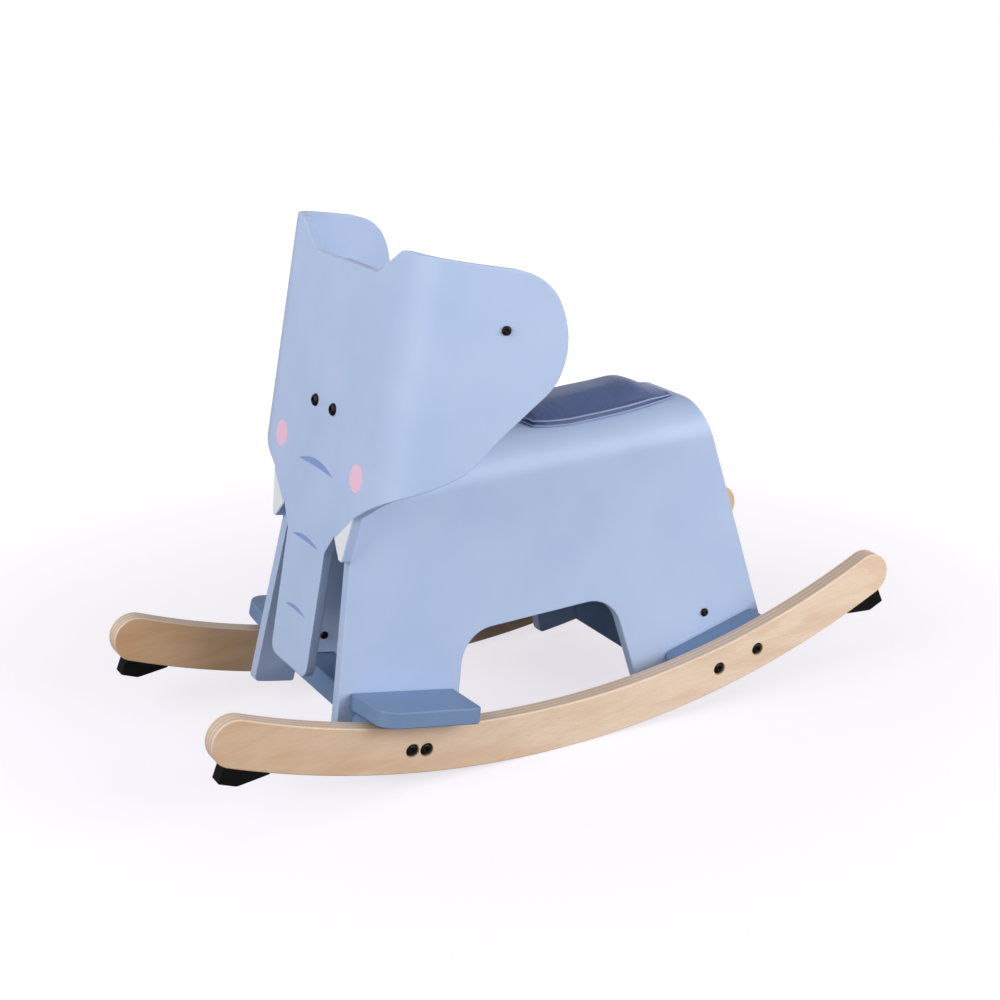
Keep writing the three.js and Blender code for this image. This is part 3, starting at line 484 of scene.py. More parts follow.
def finish(name, surface, *given):
    """Material whose surface(node, *given) returns its shader's inputs and its bumps, each one a height, a strength,
    a depth in metres and whether it is turned inwards."""
    material = bpy.data.materials.new(name)
    node = emptied(material)
    inputs, bumps = surface(node, *given)
    for height, strength, depth, inwards in bumps:
        below = {"Normal": inputs["Normal"]} if "Normal" in inputs else {}
        inputs["Normal"] = node("Bump", {"Height": height, "Strength": strength, "Distance": depth, **below},
                                invert=inwards)
    node("OutputMaterial", {0: node("BsdfPrincipled", inputs)})
    return material


def ply_lines(node, pitch, line):
    """How far a point lies on a glue line between veneers of that pitch in mm, which shows on the cut edge only, and
    how far it lies on the cut edge."""
    deep = node("SeparateXYZ", {0: node("Attribute", out="Vector", attribute_name="plan")}, 2)
    step = node("Math", {0: deep, 1: pitch / 2}, operation="PINGPONG")
    near = node("MapRange", {0: step, 1: 0.0, 2: line, 3: 1.0, 4: 0.0}, interpolation_type="SMOOTHSTEP")
    cut = node("Attribute", out="Fac", attribute_name="cut")
    edge = node("MapRange", {0: cut, 1: 0.35, 2: 0.8}, interpolation_type="SMOOTHSTEP")
    return node("Math", {0: near, 1: edge}, operation="MULTIPLY"), edge


def lacquered_plywood(node, colour, shade, lines, roughness):
    """Satin acrylic lacquer sprayed on beech plywood: even colour with a faint cloudiness, the fine ripple of
    sprayed paint, a trace of the veneer's grain, and the plies just showing through on the cut edges."""
    place, plan = node("TexCoord", out="Object"), node("Attribute", out="Vector", attribute_name="plan")
    cloud, ripple = (node("TexNoise", {"Vector": place, "Scale": 1000 / size, "Detail": detail})
                     for size, detail in ((60, 2.0), (1.8, 1.0)))
    stretched = node("Mapping", {0: plan, 3: (1 / 0.8, 1 / 14, 1 / 0.8)})
    grain = node("TexNoise", {"Vector": stretched, "Scale": 1.0, "Detail": 3.0})
    joint = ply_lines(node, VENEER, 0.28)[0]
    tone = node("MapRange", {0: cloud, 1: 0.3, 2: 0.7})
    seen = node("Mix", {0: tone, 6: colour, 7: shade}, data_type="RGBA")
    dark = node("Math", {0: joint, 1: lines}, operation="MULTIPLY")
    seen = node("Mix", {0: dark, 6: seen, 7: "4a5f8a"}, data_type="RGBA")
    rough = node("MapRange", {0: grain, 1: 0.2, 2: 0.8, 3: roughness - 0.04, 4: roughness + 0.05})
    return ({"Base Color": seen, "Roughness": rough, "IOR": 1.48},
            [(ripple, 0.10, 0.0002, False), (grain, 0.12, 0.0002, False), (joint, 0.35, 0.0002, True)])


def varnished_beech(node):
    """Beech plywood under clear matt varnish: pale peeled veneer with soft pinkish clouds and short flecks, and on the
    cut edges seven plies, by turns pale and darker. Painted shade is laid over the veneer: it darkens towards the
    front, where less lamp light falls, and the inner face is tinted warmer and a little darker, as that face lies in
    shade."""
    plan = node("Attribute", out="Vector", attribute_name="plan")
    deep = node("SeparateXYZ", {0: plan}, 2)
    cloud, grain, fleck, end = (
        node("TexNoise", {"Vector": node("Mapping", {0: plan, 3: [1 / size for size in sizes]}),
                          "Scale": 1.0, "Detail": detail, "Distortion": bent})
        for sizes, detail, bent in (((90, 22, 22), 3.0, 0.6), ((16, 1.1, 1.1), 4.0, 0.3),
                                    ((3.2, 0.7, 0.7), 1.0, 0.0), ((1.5, 1.5, 0.4), 3.0, 0.0)))
    # Painted shade: both veneer tones darken from the rear towards the front end, standing in for the lamp light
    # falling off there.
    along = node("MapRange", {0: node("SeparateXYZ", {0: plan}, 0), 1: -300.0, 2: -20.0})
    pale, warm = (node("Mix", {0: along, 6: front, 7: rear}, data_type="RGBA")
                  for front, rear in (("dcbd9e", "f0d8bf"), ("d2ad8a", "e6c8ac")))
    tone = node("MapRange", {0: cloud, 1: 0.35, 2: 0.68}, interpolation_type="SMOOTHSTEP")
    line = node("MapRange", {0: grain, 1: 0.45, 2: 0.75, 3: 0.0, 4: 0.35})
    spot = node("MapRange", {0: fleck, 1: 0.62, 2: 0.72, 3: 0.0, 4: 0.25})
    # Painted shade: the inner face is multiplied by a warm tint, a shaded copy of the varnished face.
    inner = node("MapRange", {0: deep, 1: ROCK_BOARD * 0.75, 2: ROCK_BOARD - 1.0})
    face = node("Mix", {0: tone, 6: pale, 7: warm}, data_type="RGBA")
    for share, tint, way in ((line, "cfa683", "MIX"), (spot, "b98f6c", "MIX"), (inner, "fdf1de", "MULTIPLY")):
        face = node("Mix", {0: share, 6: face, 7: tint}, data_type="RGBA", blend_type=way)
    count = node("Math", {0: node("Math", {0: deep, 1: ROCKER_PLY}, operation="DIVIDE")}, operation="FLOOR")
    ply = node("Mix", {0: node("Math", {0: count, 1: 2.0}, operation="MODULO"), 6: "e6d0ba", 7: "d5bba1"},
               data_type="RGBA")
    joint, edge = ply_lines(node, ROCKER_PLY, 0.3)
    speck = node("MapRange", {0: end, 1: 0.4, 2: 0.75, 3: 0.0, 4: 0.4})
    glue = node("Math", {0: joint, 1: 0.55}, operation="MULTIPLY")
    for share, tint in ((speck, "a98a70"), (glue, "98756a")):
        ply = node("Mix", {0: share, 6: ply, 7: tint}, data_type="RGBA")
    seen = node("Mix", {0: edge, 6: face, 7: ply}, data_type="RGBA")
    rough = node("MapRange", {0: grain, 1: 0.2, 2: 0.8, 3: 0.42, 4: 0.55})
    return ({"Base Color": seen, "Roughness": rough, "IOR": 1.5},
            [(grain, 0.12, 0.0002, False), (joint, 0.4, 0.0002, True)])


def printed_ink(node, colour, shade):
    """Pad-printed ink over the lacquer: flat colour a little uneven in its film, and as satin as the paint."""
    place = node("TexCoord", out="Object")
    film, ripple = (node("TexNoise", {"Vector": place, "Scale": 1000 / size, "Detail": detail})
                    for size, detail in ((4, 2.0), (1.8, 1.0)))
    seen = node("Mix", {0: film, 6: colour, 7: shade}, data_type="RGBA")
    rough = node("MapRange", {0: film, 3: 0.42, 4: 0.52})
    return {"Base Color": seen, "Roughness": rough, "IOR": 1.48}, [(ripple, 0.1, 0.0002, False)]


def leatherette(node, colour, worn, pitted, roughness):
    """Polyurethane-coated cloth embossed with a fine pebble grain: slate blue, a little paler where it is worn and
    darker in its pits, with a soft bluish sheen. The piping is of the same stuff with a smoother finish, and its much
    paler colour is a painted highlight along the beads."""
    place = node("TexCoord", out="Object")
    pebble = node("TexVoronoi", {"Vector": place, "Scale": 1000 / 1.1}, feature="SMOOTH_F1")
    crease = node("TexNoise", {"Vector": place, "Scale": 1000 / 9, "Detail": 3.0, "Distortion": 0.8})
    cloud = node("TexNoise", {"Vector": place, "Scale": 1000 / 45, "Detail": 2.0})
    tone = node("MapRange", {0: cloud, 1: 0.3, 2: 0.7})
    pit = node("MapRange", {0: pebble, 1: 0.3, 2: 0.8, 3: 0.0, 4: 0.3})
    seen = node("Mix", {0: tone, 6: colour, 7: worn}, data_type="RGBA")
    seen = node("Mix", {0: pit, 6: seen, 7: pitted}, data_type="RGBA")
    rough = node("MapRange", {0: pebble, 1: 0.2, 2: 0.8, 3: roughness - 0.06, 4: roughness + 0.1})
    return ({"Base Color": seen, "Roughness": rough, "IOR": 1.5, "Sheen Weight": 0.36, "Sheen Roughness": 0.4,
             "Sheen Tint": "c4cdea"}, [(pebble, 0.3, 0.0002, True), (crease, 0.25, 0.0004, False)])


def sewing_thread(node):
    """Bonded polyester thread, twisted: slate blue like the cover, with a fine diagonal ply."""
    twist = node("TexWave", {"Vector": node("TexCoord", out="Object"), "Scale": 1000 / 3.0, "Distortion": 1.0})
    seen = node("Mix", {0: twist, 6: "52618a", 7: "414f76"}, data_type="RGBA")
    return {"Base Color": seen, "Roughness": 0.6}, []


def moulded_rubber(node):
    """Injection-moulded thermoplastic rubber: nearly black, matt, with a spark-eroded mould's fine texture."""
    place = node("TexCoord", out="Object")
    grit, dust = (node("TexNoise", {"Vector": place, "Scale": 1000 / size, "Detail": detail})
                  for size, detail in ((0.7, 2.0), (8, 3.0)))
    tone = node("MapRange", {0: dust, 1: 0.35, 2: 0.7})
    seen = node("Mix", {0: tone, 6: "09090a", 7: "111112"}, data_type="RGBA")
    rough = node("MapRange", {0: dust, 3: 0.6, 4: 0.75})
    return {"Base Color": seen, "Roughness": rough, "Specular IOR Level": 0.08}, [(grit, 0.25, 0.0002, False)]


def black_oxide_steel(node):
    """Black-oxide steel bolts: a nearly black skin with an oily shine, uneven from the bath."""
    bath = node("TexNoise", {"Vector": node("TexCoord", out="Object"), "Scale": 1000 / 2.5, "Detail": 3.0})
    seen = node("Mix", {0: bath, 6: "0d0d0f", 7: "181614"}, data_type="RGBA")
    rough = node("MapRange", {0: bath, 1: 0.3, 2: 0.7, 3: 0.36, 4: 0.5})
    return {"Base Color": seen, "Metallic": 0.75, "Roughness": rough}, []


sky_lacquer = finish("sky_blue_lacquer_on_plywood", lacquered_plywood, "b8c9e7", "b1c4e4", 0.35, 0.46)
denim_lacquer = finish("denim_blue_lacquer_on_plywood", lacquered_plywood, "6f89ac", "6a84a7", 0.2, 0.48)
beech = finish("varnished_beech_plywood", varnished_beech)
white_ink = finish("white_ink", printed_ink, "ececf1", "e5e7eb")
pink_ink = finish("pink_ink", printed_ink, "f2c8dd", "efc2d8")
blue_ink = finish("blue_ink", printed_ink, "879fcf", "7f98ca")
cover = finish("slate_leatherette", leatherette, "394e7e", "444f76", "2b3c6b", 0.46)
# The piping's pale base colours are a painted highlight: they stand in for the lamps' shine along the beads.
piping = finish("piping_leatherette_painted_highlight", leatherette, "8e9cc6", "9aa7ce", "7181ae", 0.38)
thread = finish("polyester_thread", sewing_thread)
rubber = finish("moulded_rubber", moulded_rubber)
steel = finish("black_oxide_steel", black_oxide_steel)

SIDES = {"left": 1, "right": -1}
ENDS = {"front": 1, "rear": -1}


# ---- Rockers and their stops ----

def rocker_outline():
    """Band between two circles about the rockers' centre, its ends half circles."""
    along = np.linspace(-ROCK_END, ROCK_END, 120)
    turn = np.linspace(0, np.pi, 25)[1:-1]
    half = ROCK_BAND / 2
    rear_end = tangent(ROCK_END, half * np.sin(turn), BAND_MIDDLE + half * np.cos(turn))
    front_end = tangent(-ROCK_END, -half * np.sin(turn), BAND_MIDDLE - half * np.cos(turn))
    return np.concatenate([tangent(along, 0, RUN_RADIUS), rear_end, tangent(along[::-1], 0, ROCK_TOP), front_end])


def on_stop(run, across, deep):
    """Stop: run inwards from the rocker's end, deep from its underside, whose drop below the rocker
    is full under the end and then falls straight to nothing at the toe."""
    flat = STOP_LENGTH - STOP_TOE
    drop = STOP_DROP * np.interp(run, [flat, STOP_LENGTH + 1], [1, 0.03])
    radius = RUN_RADIUS + drop * (1 - deep / STOP_DROP)
    y, z = tangent(-ROCK_END + run / ROCK_RADIUS, 0, radius).T
    return np.stack([ROCK_TRACK - ROCK_BOARD / 2 + across, y, z], 1)


rocker_sinks = [(*on_arc(BAND_MIDDLE, y), BOLT_SINK_RADIUS, BOLT_SINK) for y in FRONT_BOLTS + REAR_BOLTS]
stop_plan = dense(oblong(-STOP_OVER, -STOP_WIDTH / 2, STOP_LENGTH, STOP_WIDTH / 2, 1, 1), 2)
for name, side in SIDES.items():
    mesh = board(rocker_outline(), across(ROCK_TRACK), ROCK_BOARD, edge=1.3, sides=(side, 1), sinks=rocker_sinks)
    show(f"rocker_band_{name}", mesh, beech, "beech_ply", f"rocker_{name}")
    for end, way in ENDS.items():
        mesh = board(stop_plan, on_stop, STOP_DROP, edge=0.8, sides=(side, way), columns=np.arange(-1, STOP_LENGTH, 3),
                     rows=np.arange(-5, 6, 2.5), sinks=[(STOP_THICK_FROM, 0, SCREW["head"] + FIT, STOP_SINK)])
        show(f"rubber_stop_{end}_{name}", mesh, rubber, "rubber", f"stop_{end}_{name}")


# ---- Body ----

def beam_notch(sole):
    """Side-view corners of the cut that lets the front beam through, open at the sole, wider in front by BEAM_GAP."""
    front, rear, top = -BEAM_WIDE / 2 - BEAM_GAP, BEAM_WIDE / 2 + FIT, BEAM_MIDDLE - BEAM_THICK / 2 - FIT
    return tangent(FRONT_ANGLE, np.array([front, front, rear, rear]), [sole, top, top, sole])


def body_outline():
    """Unrolled board: the side view's feet, arch and beam notch carried to lengths along the hoop, and the end cuts
    over the crown, which lean with the face in front and with the rear behind."""
    sole = ROCK_RADIUS - LEG_LIFT
    toe, heel = foot_of(BODY_FRONT, FACE_LEAN), foot_of(ARCH_FRONT, FACE_LEAN)
    hind_toe, hind_heel = foot_of(ARCH_REAR, -REAR_LEAN), foot_of(REAR_REACH, -REAR_LEAN)
    notch = beam_notch(sole)
    notch[0], notch[3] = on_arc(sole, notch[0, 0]), on_arc(sole, notch[3, 0])
    high = BODY_TOP + 60
    side = rounded([
        (*toe, LEG_ROUND), *on_arc(sole, np.linspace(toe[0], notch[0, 0], 4)[1:-1]).tolist(),
        (*notch[0], 2.4), (*notch[1], 1.5), (*notch[2], 1.5), (*notch[3], 2.4),
        (*heel, LEG_ROUND), (ARCH_FRONT + FACE_TAN * ARCH_TOP, ARCH_TOP, ARCH_ROUND),
        (ARCH_REAR - REAR_TAN * ARCH_TOP, ARCH_TOP, ARCH_ROUND), (*hind_toe, LEG_ROUND),
        *on_arc(sole, np.linspace(hind_toe[0], hind_heel[0], 7)[1:-1]).tolist(), (*hind_heel, LEG_ROUND),
        (REAR_REACH - REAR_TAN * high, high), (BODY_FRONT + FACE_TAN * high, high),
    ], 12)[:-2]
    side = np.stack([BEND_END + (BEND_LOW - side[:, 1]) / math.cos(BODY_SPLAY), side[:, 0]], 1)
    mirrored = side[::-1] * [-1, 1]
    over = np.sort(np.r_[np.linspace(-BEND_END, BEND_END, 130), BEND_HUB, -BEND_HUB])
    front = np.stack([over, BODY_FRONT + FACE_TAN * hoop_height(over)], 1)
    rear = np.stack([over, REAR_REACH - REAR_TAN * hoop_height(over)], 1)[::-1]
    return np.concatenate([front, side, rear, mirrored])


bend = np.linspace(BEND_HUB, BEND_END, 34)
mesh = board(dense(body_outline(), 12), on_body, BODY_BOARD, edge=1.2,
             columns=np.r_[-bend[::-1], bend], rows=np.arange(-180, 185, 12))
show("bent_body", mesh, sky_lacquer, "blue_paint", "body_shell")


# ---- Head ----

def head_outline():
    """From the middle of the trunk's end round tusk, ear and crown to the middle of the notch, and mirrored back."""
    low = rounded([(0, 81), (36.1, 81, 10), (37, 191), (50.1, 208.7), (64.3, 193.2, 3.1), (70.7, 193.2, 3.1),
                   (79.4, 233)], 6)
    shares = np.array([[0.479, 0.5683], [0.625, 0.6084], [0.7375, 0.6454], [0.825, 0.708], [0.908, 0.7633],
                       [0.9767, 0.8112], [1, 0.8647], [0.985, 0.9185], [0.9375, 0.9665], [0.868, 0.9925], [0.79, 1]])
    ear = spline(np.concatenate([[[79.4, 233]], shares * [HEAD_HALF_SPAN, HEAD_TALL]]), 6)
    notch = HEAD_TALL - NOTCH_DEEP
    high = rounded([(0, notch), (56.4, notch, 10), (93.4, HEAD_TALL, 15), (189.6, HEAD_TALL)], 6)
    half = np.concatenate([low[:-1], ear, high[-2::-1]])
    return np.concatenate([half, half[-2:0:-1] * [-1, 1]])


def printed(name, outline, ink):
    """A film of ink on the face's flat front, a tenth of a millimetre thick, which follows the head board."""
    mesh = board(outline, lambda s, t, deep: on_head(s, t, deep - INK_FILM), INK_FILM + INK_SUNK, edge=0.03, turn=2)
    show(name, mesh, ink, "blue_paint")


def crescent(half_chord, height, rise):
    """Lens between a chord at a height and an arc that rises above it: the arc's height is rise * (1 - share ** 2)."""
    share = np.linspace(-1, 1, 33)
    top = np.stack([half_chord * share, height + rise * (1 - share ** 2)], 1)[::-1]
    low = np.stack([half_chord * share, height + 0.12 * rise * (1 - share ** 2)], 1)[1:-1]
    return np.concatenate([top, low])


ear_bend = np.linspace(FACE_HALF_FLAT, EAR_BEND_END, 32)
mesh = board(dense(head_outline(), 6), on_head, HEAD_BOARD, edge=1.0,
             columns=np.r_[-ear_bend[::-1], ear_bend], rows=np.arange(240, 448, 12))
show("elephant_head", mesh, sky_lacquer, "blue_paint", "head_panel")
tusk = rounded([(51, 208.5), (64.3, 193.2, 3.1), (70.7, 193.2, 3.1), (79.4, 233)], 6)
tusk = tusk - 0.9 * corners_out(tusk)
for name, side in SIDES.items():
    printed(f"tusk_{name}", tusk if side > 0 else tusk[::-1] * [-1, 1], white_ink)
    printed(f"cheek_{name}", circle(side * CHEEK_OUT, CHEEK_UP, CHEEK_RADIUS), pink_ink)
for i, (half_chord, height, rise) in enumerate(((34, 253, 7), (26, 189.5, 5), (20.5, 129.3, 4))):
    printed(f"trunk_fold_{i + 1}", crescent(half_chord, height, rise), blue_ink)


# ---- Neck, handle, beam, bulkhead and stretcher ----

def on_neck(x, z, deep):
    """Neck block against the back of the face: deep runs back from it, and its top is cut square to the face."""
    rise = z - SEAT_BASE
    return np.stack([x, BODY_FRONT + FACE_TAN * z + deep / math.cos(FACE_LEAN),
                     z - deep * math.sin(FACE_LEAN) * rise / NECK_TALL], 1)


neck = oblong(-NECK_HALF_WIDE, SEAT_BASE, NECK_HALF_WIDE, SEAT_BASE + NECK_TALL, 0, 3)
show("neck", board(dense(neck, 10), on_neck, NECK_DEEP, edge=1.5), denim_lacquer, "shade_paint", "neck_block")


def handle_bar():
    """Turned bar between the ears: circles along x, whose two ends are cut to the ears' inner faces and broken."""
    axis, out = head_point(BAR_SPAN, BAR_HEIGHT, HEAD_BOARD), head_out(BAR_SPAN)
    share = np.r_[-1, -1, np.linspace(-0.97, 0.97, 9), 1, 1]
    radius = BAR_RADIUS - np.r_[BAR_RADIUS, BAR_BREAK, np.zeros(9), BAR_BREAK, BAR_RADIUS]
    y, z = (radius[:, None] * turned for turned in spokes(ROUND))
    reach = axis[0] - (FIT + out[1] * y + out[2] * z) / out[0]
    x = share[:, None] * reach
    x[[2, -3]] = np.sign(share[[2, -3], None]) * (reach[[2, -3]] - BAR_BREAK)
    points = np.stack([x, axis[1] + y, axis[2] + z], -1).reshape(-1, 3)
    mesh = new_mesh(points, [ring_quads(len(share), ROUND)[:, ::-1]])
    mesh.set_sharp_from_angle(angle=30 * DEG)
    return mesh


show("handle", handle_bar(), sky_lacquer, "shade_paint", "handle_bar")


def behind_wall(start, low, high, follow):
    """Place of a board between the hind legs: deep runs back from start, its sides keep to the legs,
    and where follow is set its foot climbs with the rockers' curve."""
    def place(share, z, deep):
        z = z + follow * deep * (high - z) / (high - low)
        half = leg_x(z, BODY_BOARD + FIT)
        return np.stack([share / 100 * half, WALL_REACH + (start + deep) / math.cos(REAR_LEAN) - REAR_TAN * z, z], 1)
    return place


beam = tangent(FRONT_ANGLE, np.array([-1, 1, 1, -1]) * BEAM_WIDE / 2,
               BEAM_MIDDLE + np.array([1, 1, -1, -1]) * BEAM_THICK / 2)
beam = rounded([(*corner, 2) for corner in beam], 4)
foot = foot_of(WALL_REACH, -REAR_LEAN)[1]
low, high = STRETCHER_RISE - STRETCHER_TALL, STRETCHER_RISE + STRETCHER_TALL / 2
for name, plan, place, thick, edge, solid in (
        ("front_beam_bar", beam, across(ROCK_INNER - FIT), 2 * (ROCK_INNER - FIT), 0.8, "front_beam"),
        ("hind_bulkhead", dense(oblong(-100, foot, 100, WALL_TOP), 12), behind_wall(0, foot, WALL_TOP, 0.16),
         WALL_BOARD, 1.2, "rear_bulkhead"),
        ("hind_stretcher", dense(oblong(-100, low, 100, high), 12), behind_wall(WALL_BOARD + FIT, low, high, 0),
         STRETCHER_WIDE, 1.2, "rear_stretcher")):
    show(name, board(plan, place, thick, edge), denim_lacquer, "shade_paint", solid)


# ---- Blocks, footrests ----

def on_block(y, z, deep):
    """Block between rocker and leg: deep 0 is at the rocker, BLOCK_BOARD at the leg's leaning face."""
    near, far = ROCK_INNER - FIT, leg_x(z) + FIT / math.cos(BODY_SPLAY)
    return np.stack([near - (near - far) * deep / BLOCK_BOARD, y, z], 1)


def block_corners(angle, front, rear, top):
    """Side-view corners of a block in its bolts' leaning frame, from the lower front one round."""
    return tangent(angle, np.array([-front, rear, rear, -front]), [BLOCK_SOLE, BLOCK_SOLE, top, top])


corners = block_corners(FRONT_ANGLE, *FRONT_BLOCK, FOOTREST_UNDER + FIT)
front_plan = rounded([(*corners[0], BLOCK_ROUND), *beam_notch(BLOCK_SOLE).tolist(),
                      *((*c, BLOCK_ROUND) for c in corners[1:])], 6)
rear_plan = rounded([(*c, BLOCK_ROUND / 2) for c in block_corners(REAR_ANGLE, *REAR_BLOCK, ROCK_TOP + 2)], 6)

leg_face = leg_x(STRETCHER_RISE)
foot_out = (ROCK_TRACK + FOOTREST_OVERHANG - leg_face) / math.cos(FOOTREST_RISE)


def foot_inner(run, deep):
    """Reach at which the footrest, risen outwards by FOOTREST_RISE, meets the leg's outer face."""
    up = FOOTREST_BOARD - deep
    z = tangent(FRONT_ANGLE, run, FOOTREST_UNDER)[..., 1] + up * math.cos(FOOTREST_RISE) * math.cos(FRONT_ANGLE)
    slope = math.cos(FOOTREST_RISE) + math.tan(BODY_SPLAY) * math.sin(FOOTREST_RISE) * math.cos(FRONT_ANGLE)
    return (leg_x(z) + FIT / math.cos(BODY_SPLAY) - leg_face + up * math.sin(FOOTREST_RISE)) / slope


def on_footrest(reach, run, deep):
    """Footrest: reach out from the leg, run along the toy, deep from its top; its inner end follows the leg."""
    start = foot_inner(run, 0)
    reach = reach + (foot_inner(run, deep) - start) * (foot_out - reach) / (foot_out - start)
    up = FOOTREST_BOARD - deep
    lift = reach * math.sin(FOOTREST_RISE) + up * math.cos(FOOTREST_RISE)
    y, z = tangent(FRONT_ANGLE, run, FOOTREST_UNDER - lift).T
    return np.stack([leg_face + reach * math.cos(FOOTREST_RISE) - up * math.sin(FOOTREST_RISE), y, z], 1)


rear_run = FOOTREST_REAR
for _ in range(6):
    rear_run = FOOTREST_REAR - FOOTREST_TAPER * float(foot_inner(rear_run, 0)) / foot_out
foot_plan = rounded([
    (float(foot_inner(-FOOTREST_FRONT, 0)), -FOOTREST_FRONT),
    (foot_out, -FOOTREST_FRONT, 17),
    (foot_out, FOOTREST_REAR - FOOTREST_TAPER, 6),
    (float(foot_inner(rear_run, 0)), rear_run),
], 12)

for name, side in SIDES.items():
    for piece, plan, place, thick, edge, solid in (
            ("front_packer", front_plan, on_block, BLOCK_BOARD, 1.0, "front_block"),
            ("hind_packer", rear_plan, on_block, BLOCK_BOARD, 1.0, "rear_block"),
            ("foot_board", dense(foot_plan, 8), on_footrest, FOOTREST_BOARD, 1.6, "footrest")):
        mesh = board(plan, place, thick, edge, (side, 1))
        show(f"{piece}_{name}", mesh, denim_lacquer, "shade_paint", f"{solid}_{name}")


# ---- Bolts and screws ----

def fastener(size, long, seat, out):
    """Button head turned about its axis: radius against height, with a low dome and a hexagon socket, whose wall is
    a circle of radius 1 / cos of the angle to the nearest flat. It stands on seat and points out."""
    dome = np.linspace(0, 1, 6)
    bulge = np.sin(dome * np.pi) * 0.16
    radii = np.r_[0, size["shank"] - 0.4, size["shank"], size["shank"], size["head"] - 0.2, size["head"],
                  size["head"] + (size["crown"] - size["head"]) * dome + bulge,
                  size["socket"] + 0.35, size["socket"], size["socket"], 0.01]
    rises = np.r_[-long, -long, 0.4 - long, 0, 0, 0.25,
                  size["rim"] + (size["tall"] - size["rim"]) * dome + bulge,
                  size["tall"], size["tall"] - 0.25, size["tall"] - size["deep"], size["tall"] - size["deep"] - 0.3]
    hexagon = np.r_[np.zeros(12), 0.5, 1, 1, 0]
    c, k = spokes(ROUND)
    flat = 1 / np.cos((np.arctan2(k, c) + np.pi / 6) % (np.pi / 3) - np.pi / 6)
    radius = radii[:, None] * (1 - hexagon[:, None] + hexagon[:, None] * flat)
    out = unit(np.asarray(out, float))
    first = unit(np.cross(out, [0.3, 0.2, 1.0]))
    points = (np.asarray(seat) + out * FIT + rises[:, None, None] * out
              + radius[..., None] * (c[:, None] * first + k[:, None] * np.cross(out, first)))
    mesh = new_mesh(points.reshape(-1, 3), [ring_quads(len(radii), ROUND)[:, ::-1]])
    mesh.set_sharp_from_angle(angle=35 * DEG)
    return mesh


leg_out = np.array([math.cos(BODY_SPLAY), 0, math.sin(BODY_SPLAY)])
block_middle = on_arc(BAND_MIDDLE, sum(REAR_BOLTS) / 2)
footrest_level = on_arc(FOOTREST_TOP + FOOTREST_BOARD / 2 + 2.3, FOOTREST_BOLT)[1]
stop_angle = ROCK_END - STOP_THICK_FROM / ROCK_RADIUS
stop_seat = tangent(-stop_angle, 0, ROCK_RADIUS + STOP_DROP - STOP_SINK)
fasteners = []
for name, side in SIDES.items():
    outwards, mirror = np.array([side, 0, 0]), np.array([side, 1, 1])
    for end, places, long in (("front", FRONT_BOLTS, 42), ("rear", REAR_BOLTS, 24)):
        for i, y in enumerate(places):
            seat = [side * (ROCK_TRACK - BOLT_SINK), *on_arc(BAND_MIDDLE, y)]
            fasteners.append((f"rocker_bolt_{end}_{name}_{i + 1}", BOLT, long, seat, outwards))
    fasteners += [
        (f"eye_bolt_{name}", BOLT, 26, head_point(side * EYE_APART, EYE_PLACE), head_out(side * EYE_APART)),
        (f"handle_bolt_{name}", SMALL_BOLT, 30, head_point(side * BAR_SPAN, BAR_HEIGHT), head_out(side * BAR_SPAN)),
        (f"stretcher_bolt_{name}", SMALL_BOLT, 40,
         mirror * [leg_x(STRETCHER_RISE), STRETCHER_BOLT, STRETCHER_RISE], mirror * leg_out),
        (f"footrest_bolt_{name}", SMALL_BOLT, 44,
         mirror * [leg_x(footrest_level, BODY_BOARD), FOOTREST_BOLT, footrest_level], -mirror * leg_out),
        (f"block_screw_{name}", SCREW, 22,
         mirror * [leg_x(block_middle[1], BODY_BOARD), *block_middle], -mirror * leg_out),
        (f"neck_screw_{name}", SCREW, 32,
         [side * 0.54 * BEND_HUB, BODY_FRONT + FACE_TAN * BODY_TOP + NECK_DEEP / 2, BODY_TOP - BODY_BOARD], [0, 0, -1]),
    ]
    for end, way in ENDS.items():
        fasteners.append((f"stop_screw_{end}_{name}", SCREW, 24,
                          [side * (ROCK_TRACK - ROCK_BOARD / 2), way * stop_seat[0], stop_seat[1]],
                          [0, -way * math.sin(stop_angle), -math.cos(stop_angle)]))
for i, y in enumerate((SEAT_FRONT + SEAT_SCREW_IN, SEAT_REAR - SEAT_SCREW_IN)):
    fasteners.append((f"seat_screw_{i + 1}", SCREW, 13.6, [0, y, BODY_TOP - BODY_BOARD], [0, 0, -1]))
for name, size, long, seat, out in fasteners:
    kind = "pan" if size is SCREW else "button"
    show(f"{name}_{kind}", fastener(size, long, seat, out), steel, "black_steel", name)


# ---- Seat ----

seat_side = spline(np.array([[31.5, 7.5], [34.0, 12.5], [37.2, 22], [39.4, 40], [39.2, 60], [38.6, 80], [37.2, 102],
                             [34.6, 123], [29.6, 146], [24.0, 160]]), 8)
SEAT_ACROSS, SEAT_ALONG = 44, 90
UNDERSIDE_IN = 4.0
SEAM_IN = 4.4
SEAM_HIGH = 4.6
# Lines round the cushion: how far in from its outline, and how high over the crown where its border is full.
PIPING_LOW, PIPING_HIGH, STITCH_LINE = (0.4, 1.0), (1.6, 4.8), (3.9, 5.2)
CLOTH_FRAMES = 24
CLOTH_SPARE = 0.006
CLOTH_MOST = 1.5


def crown_height(x):
    """Height of the body's outer face at a distance x from its middle: flat, then the bend's arc."""
    turn = np.clip((np.abs(x) - BEND_HUB) / BODY_BEND, 0, 0.95)
    return BODY_TOP - BODY_BEND + BODY_BEND * np.sqrt(1 - turn ** 2)


def over_crown(plan, height):
    """Points of a plan at a height over the body's crown."""
    return np.concatenate([plan, (crown_height(plan[..., 0]) + FIT + height)[..., None]], -1)


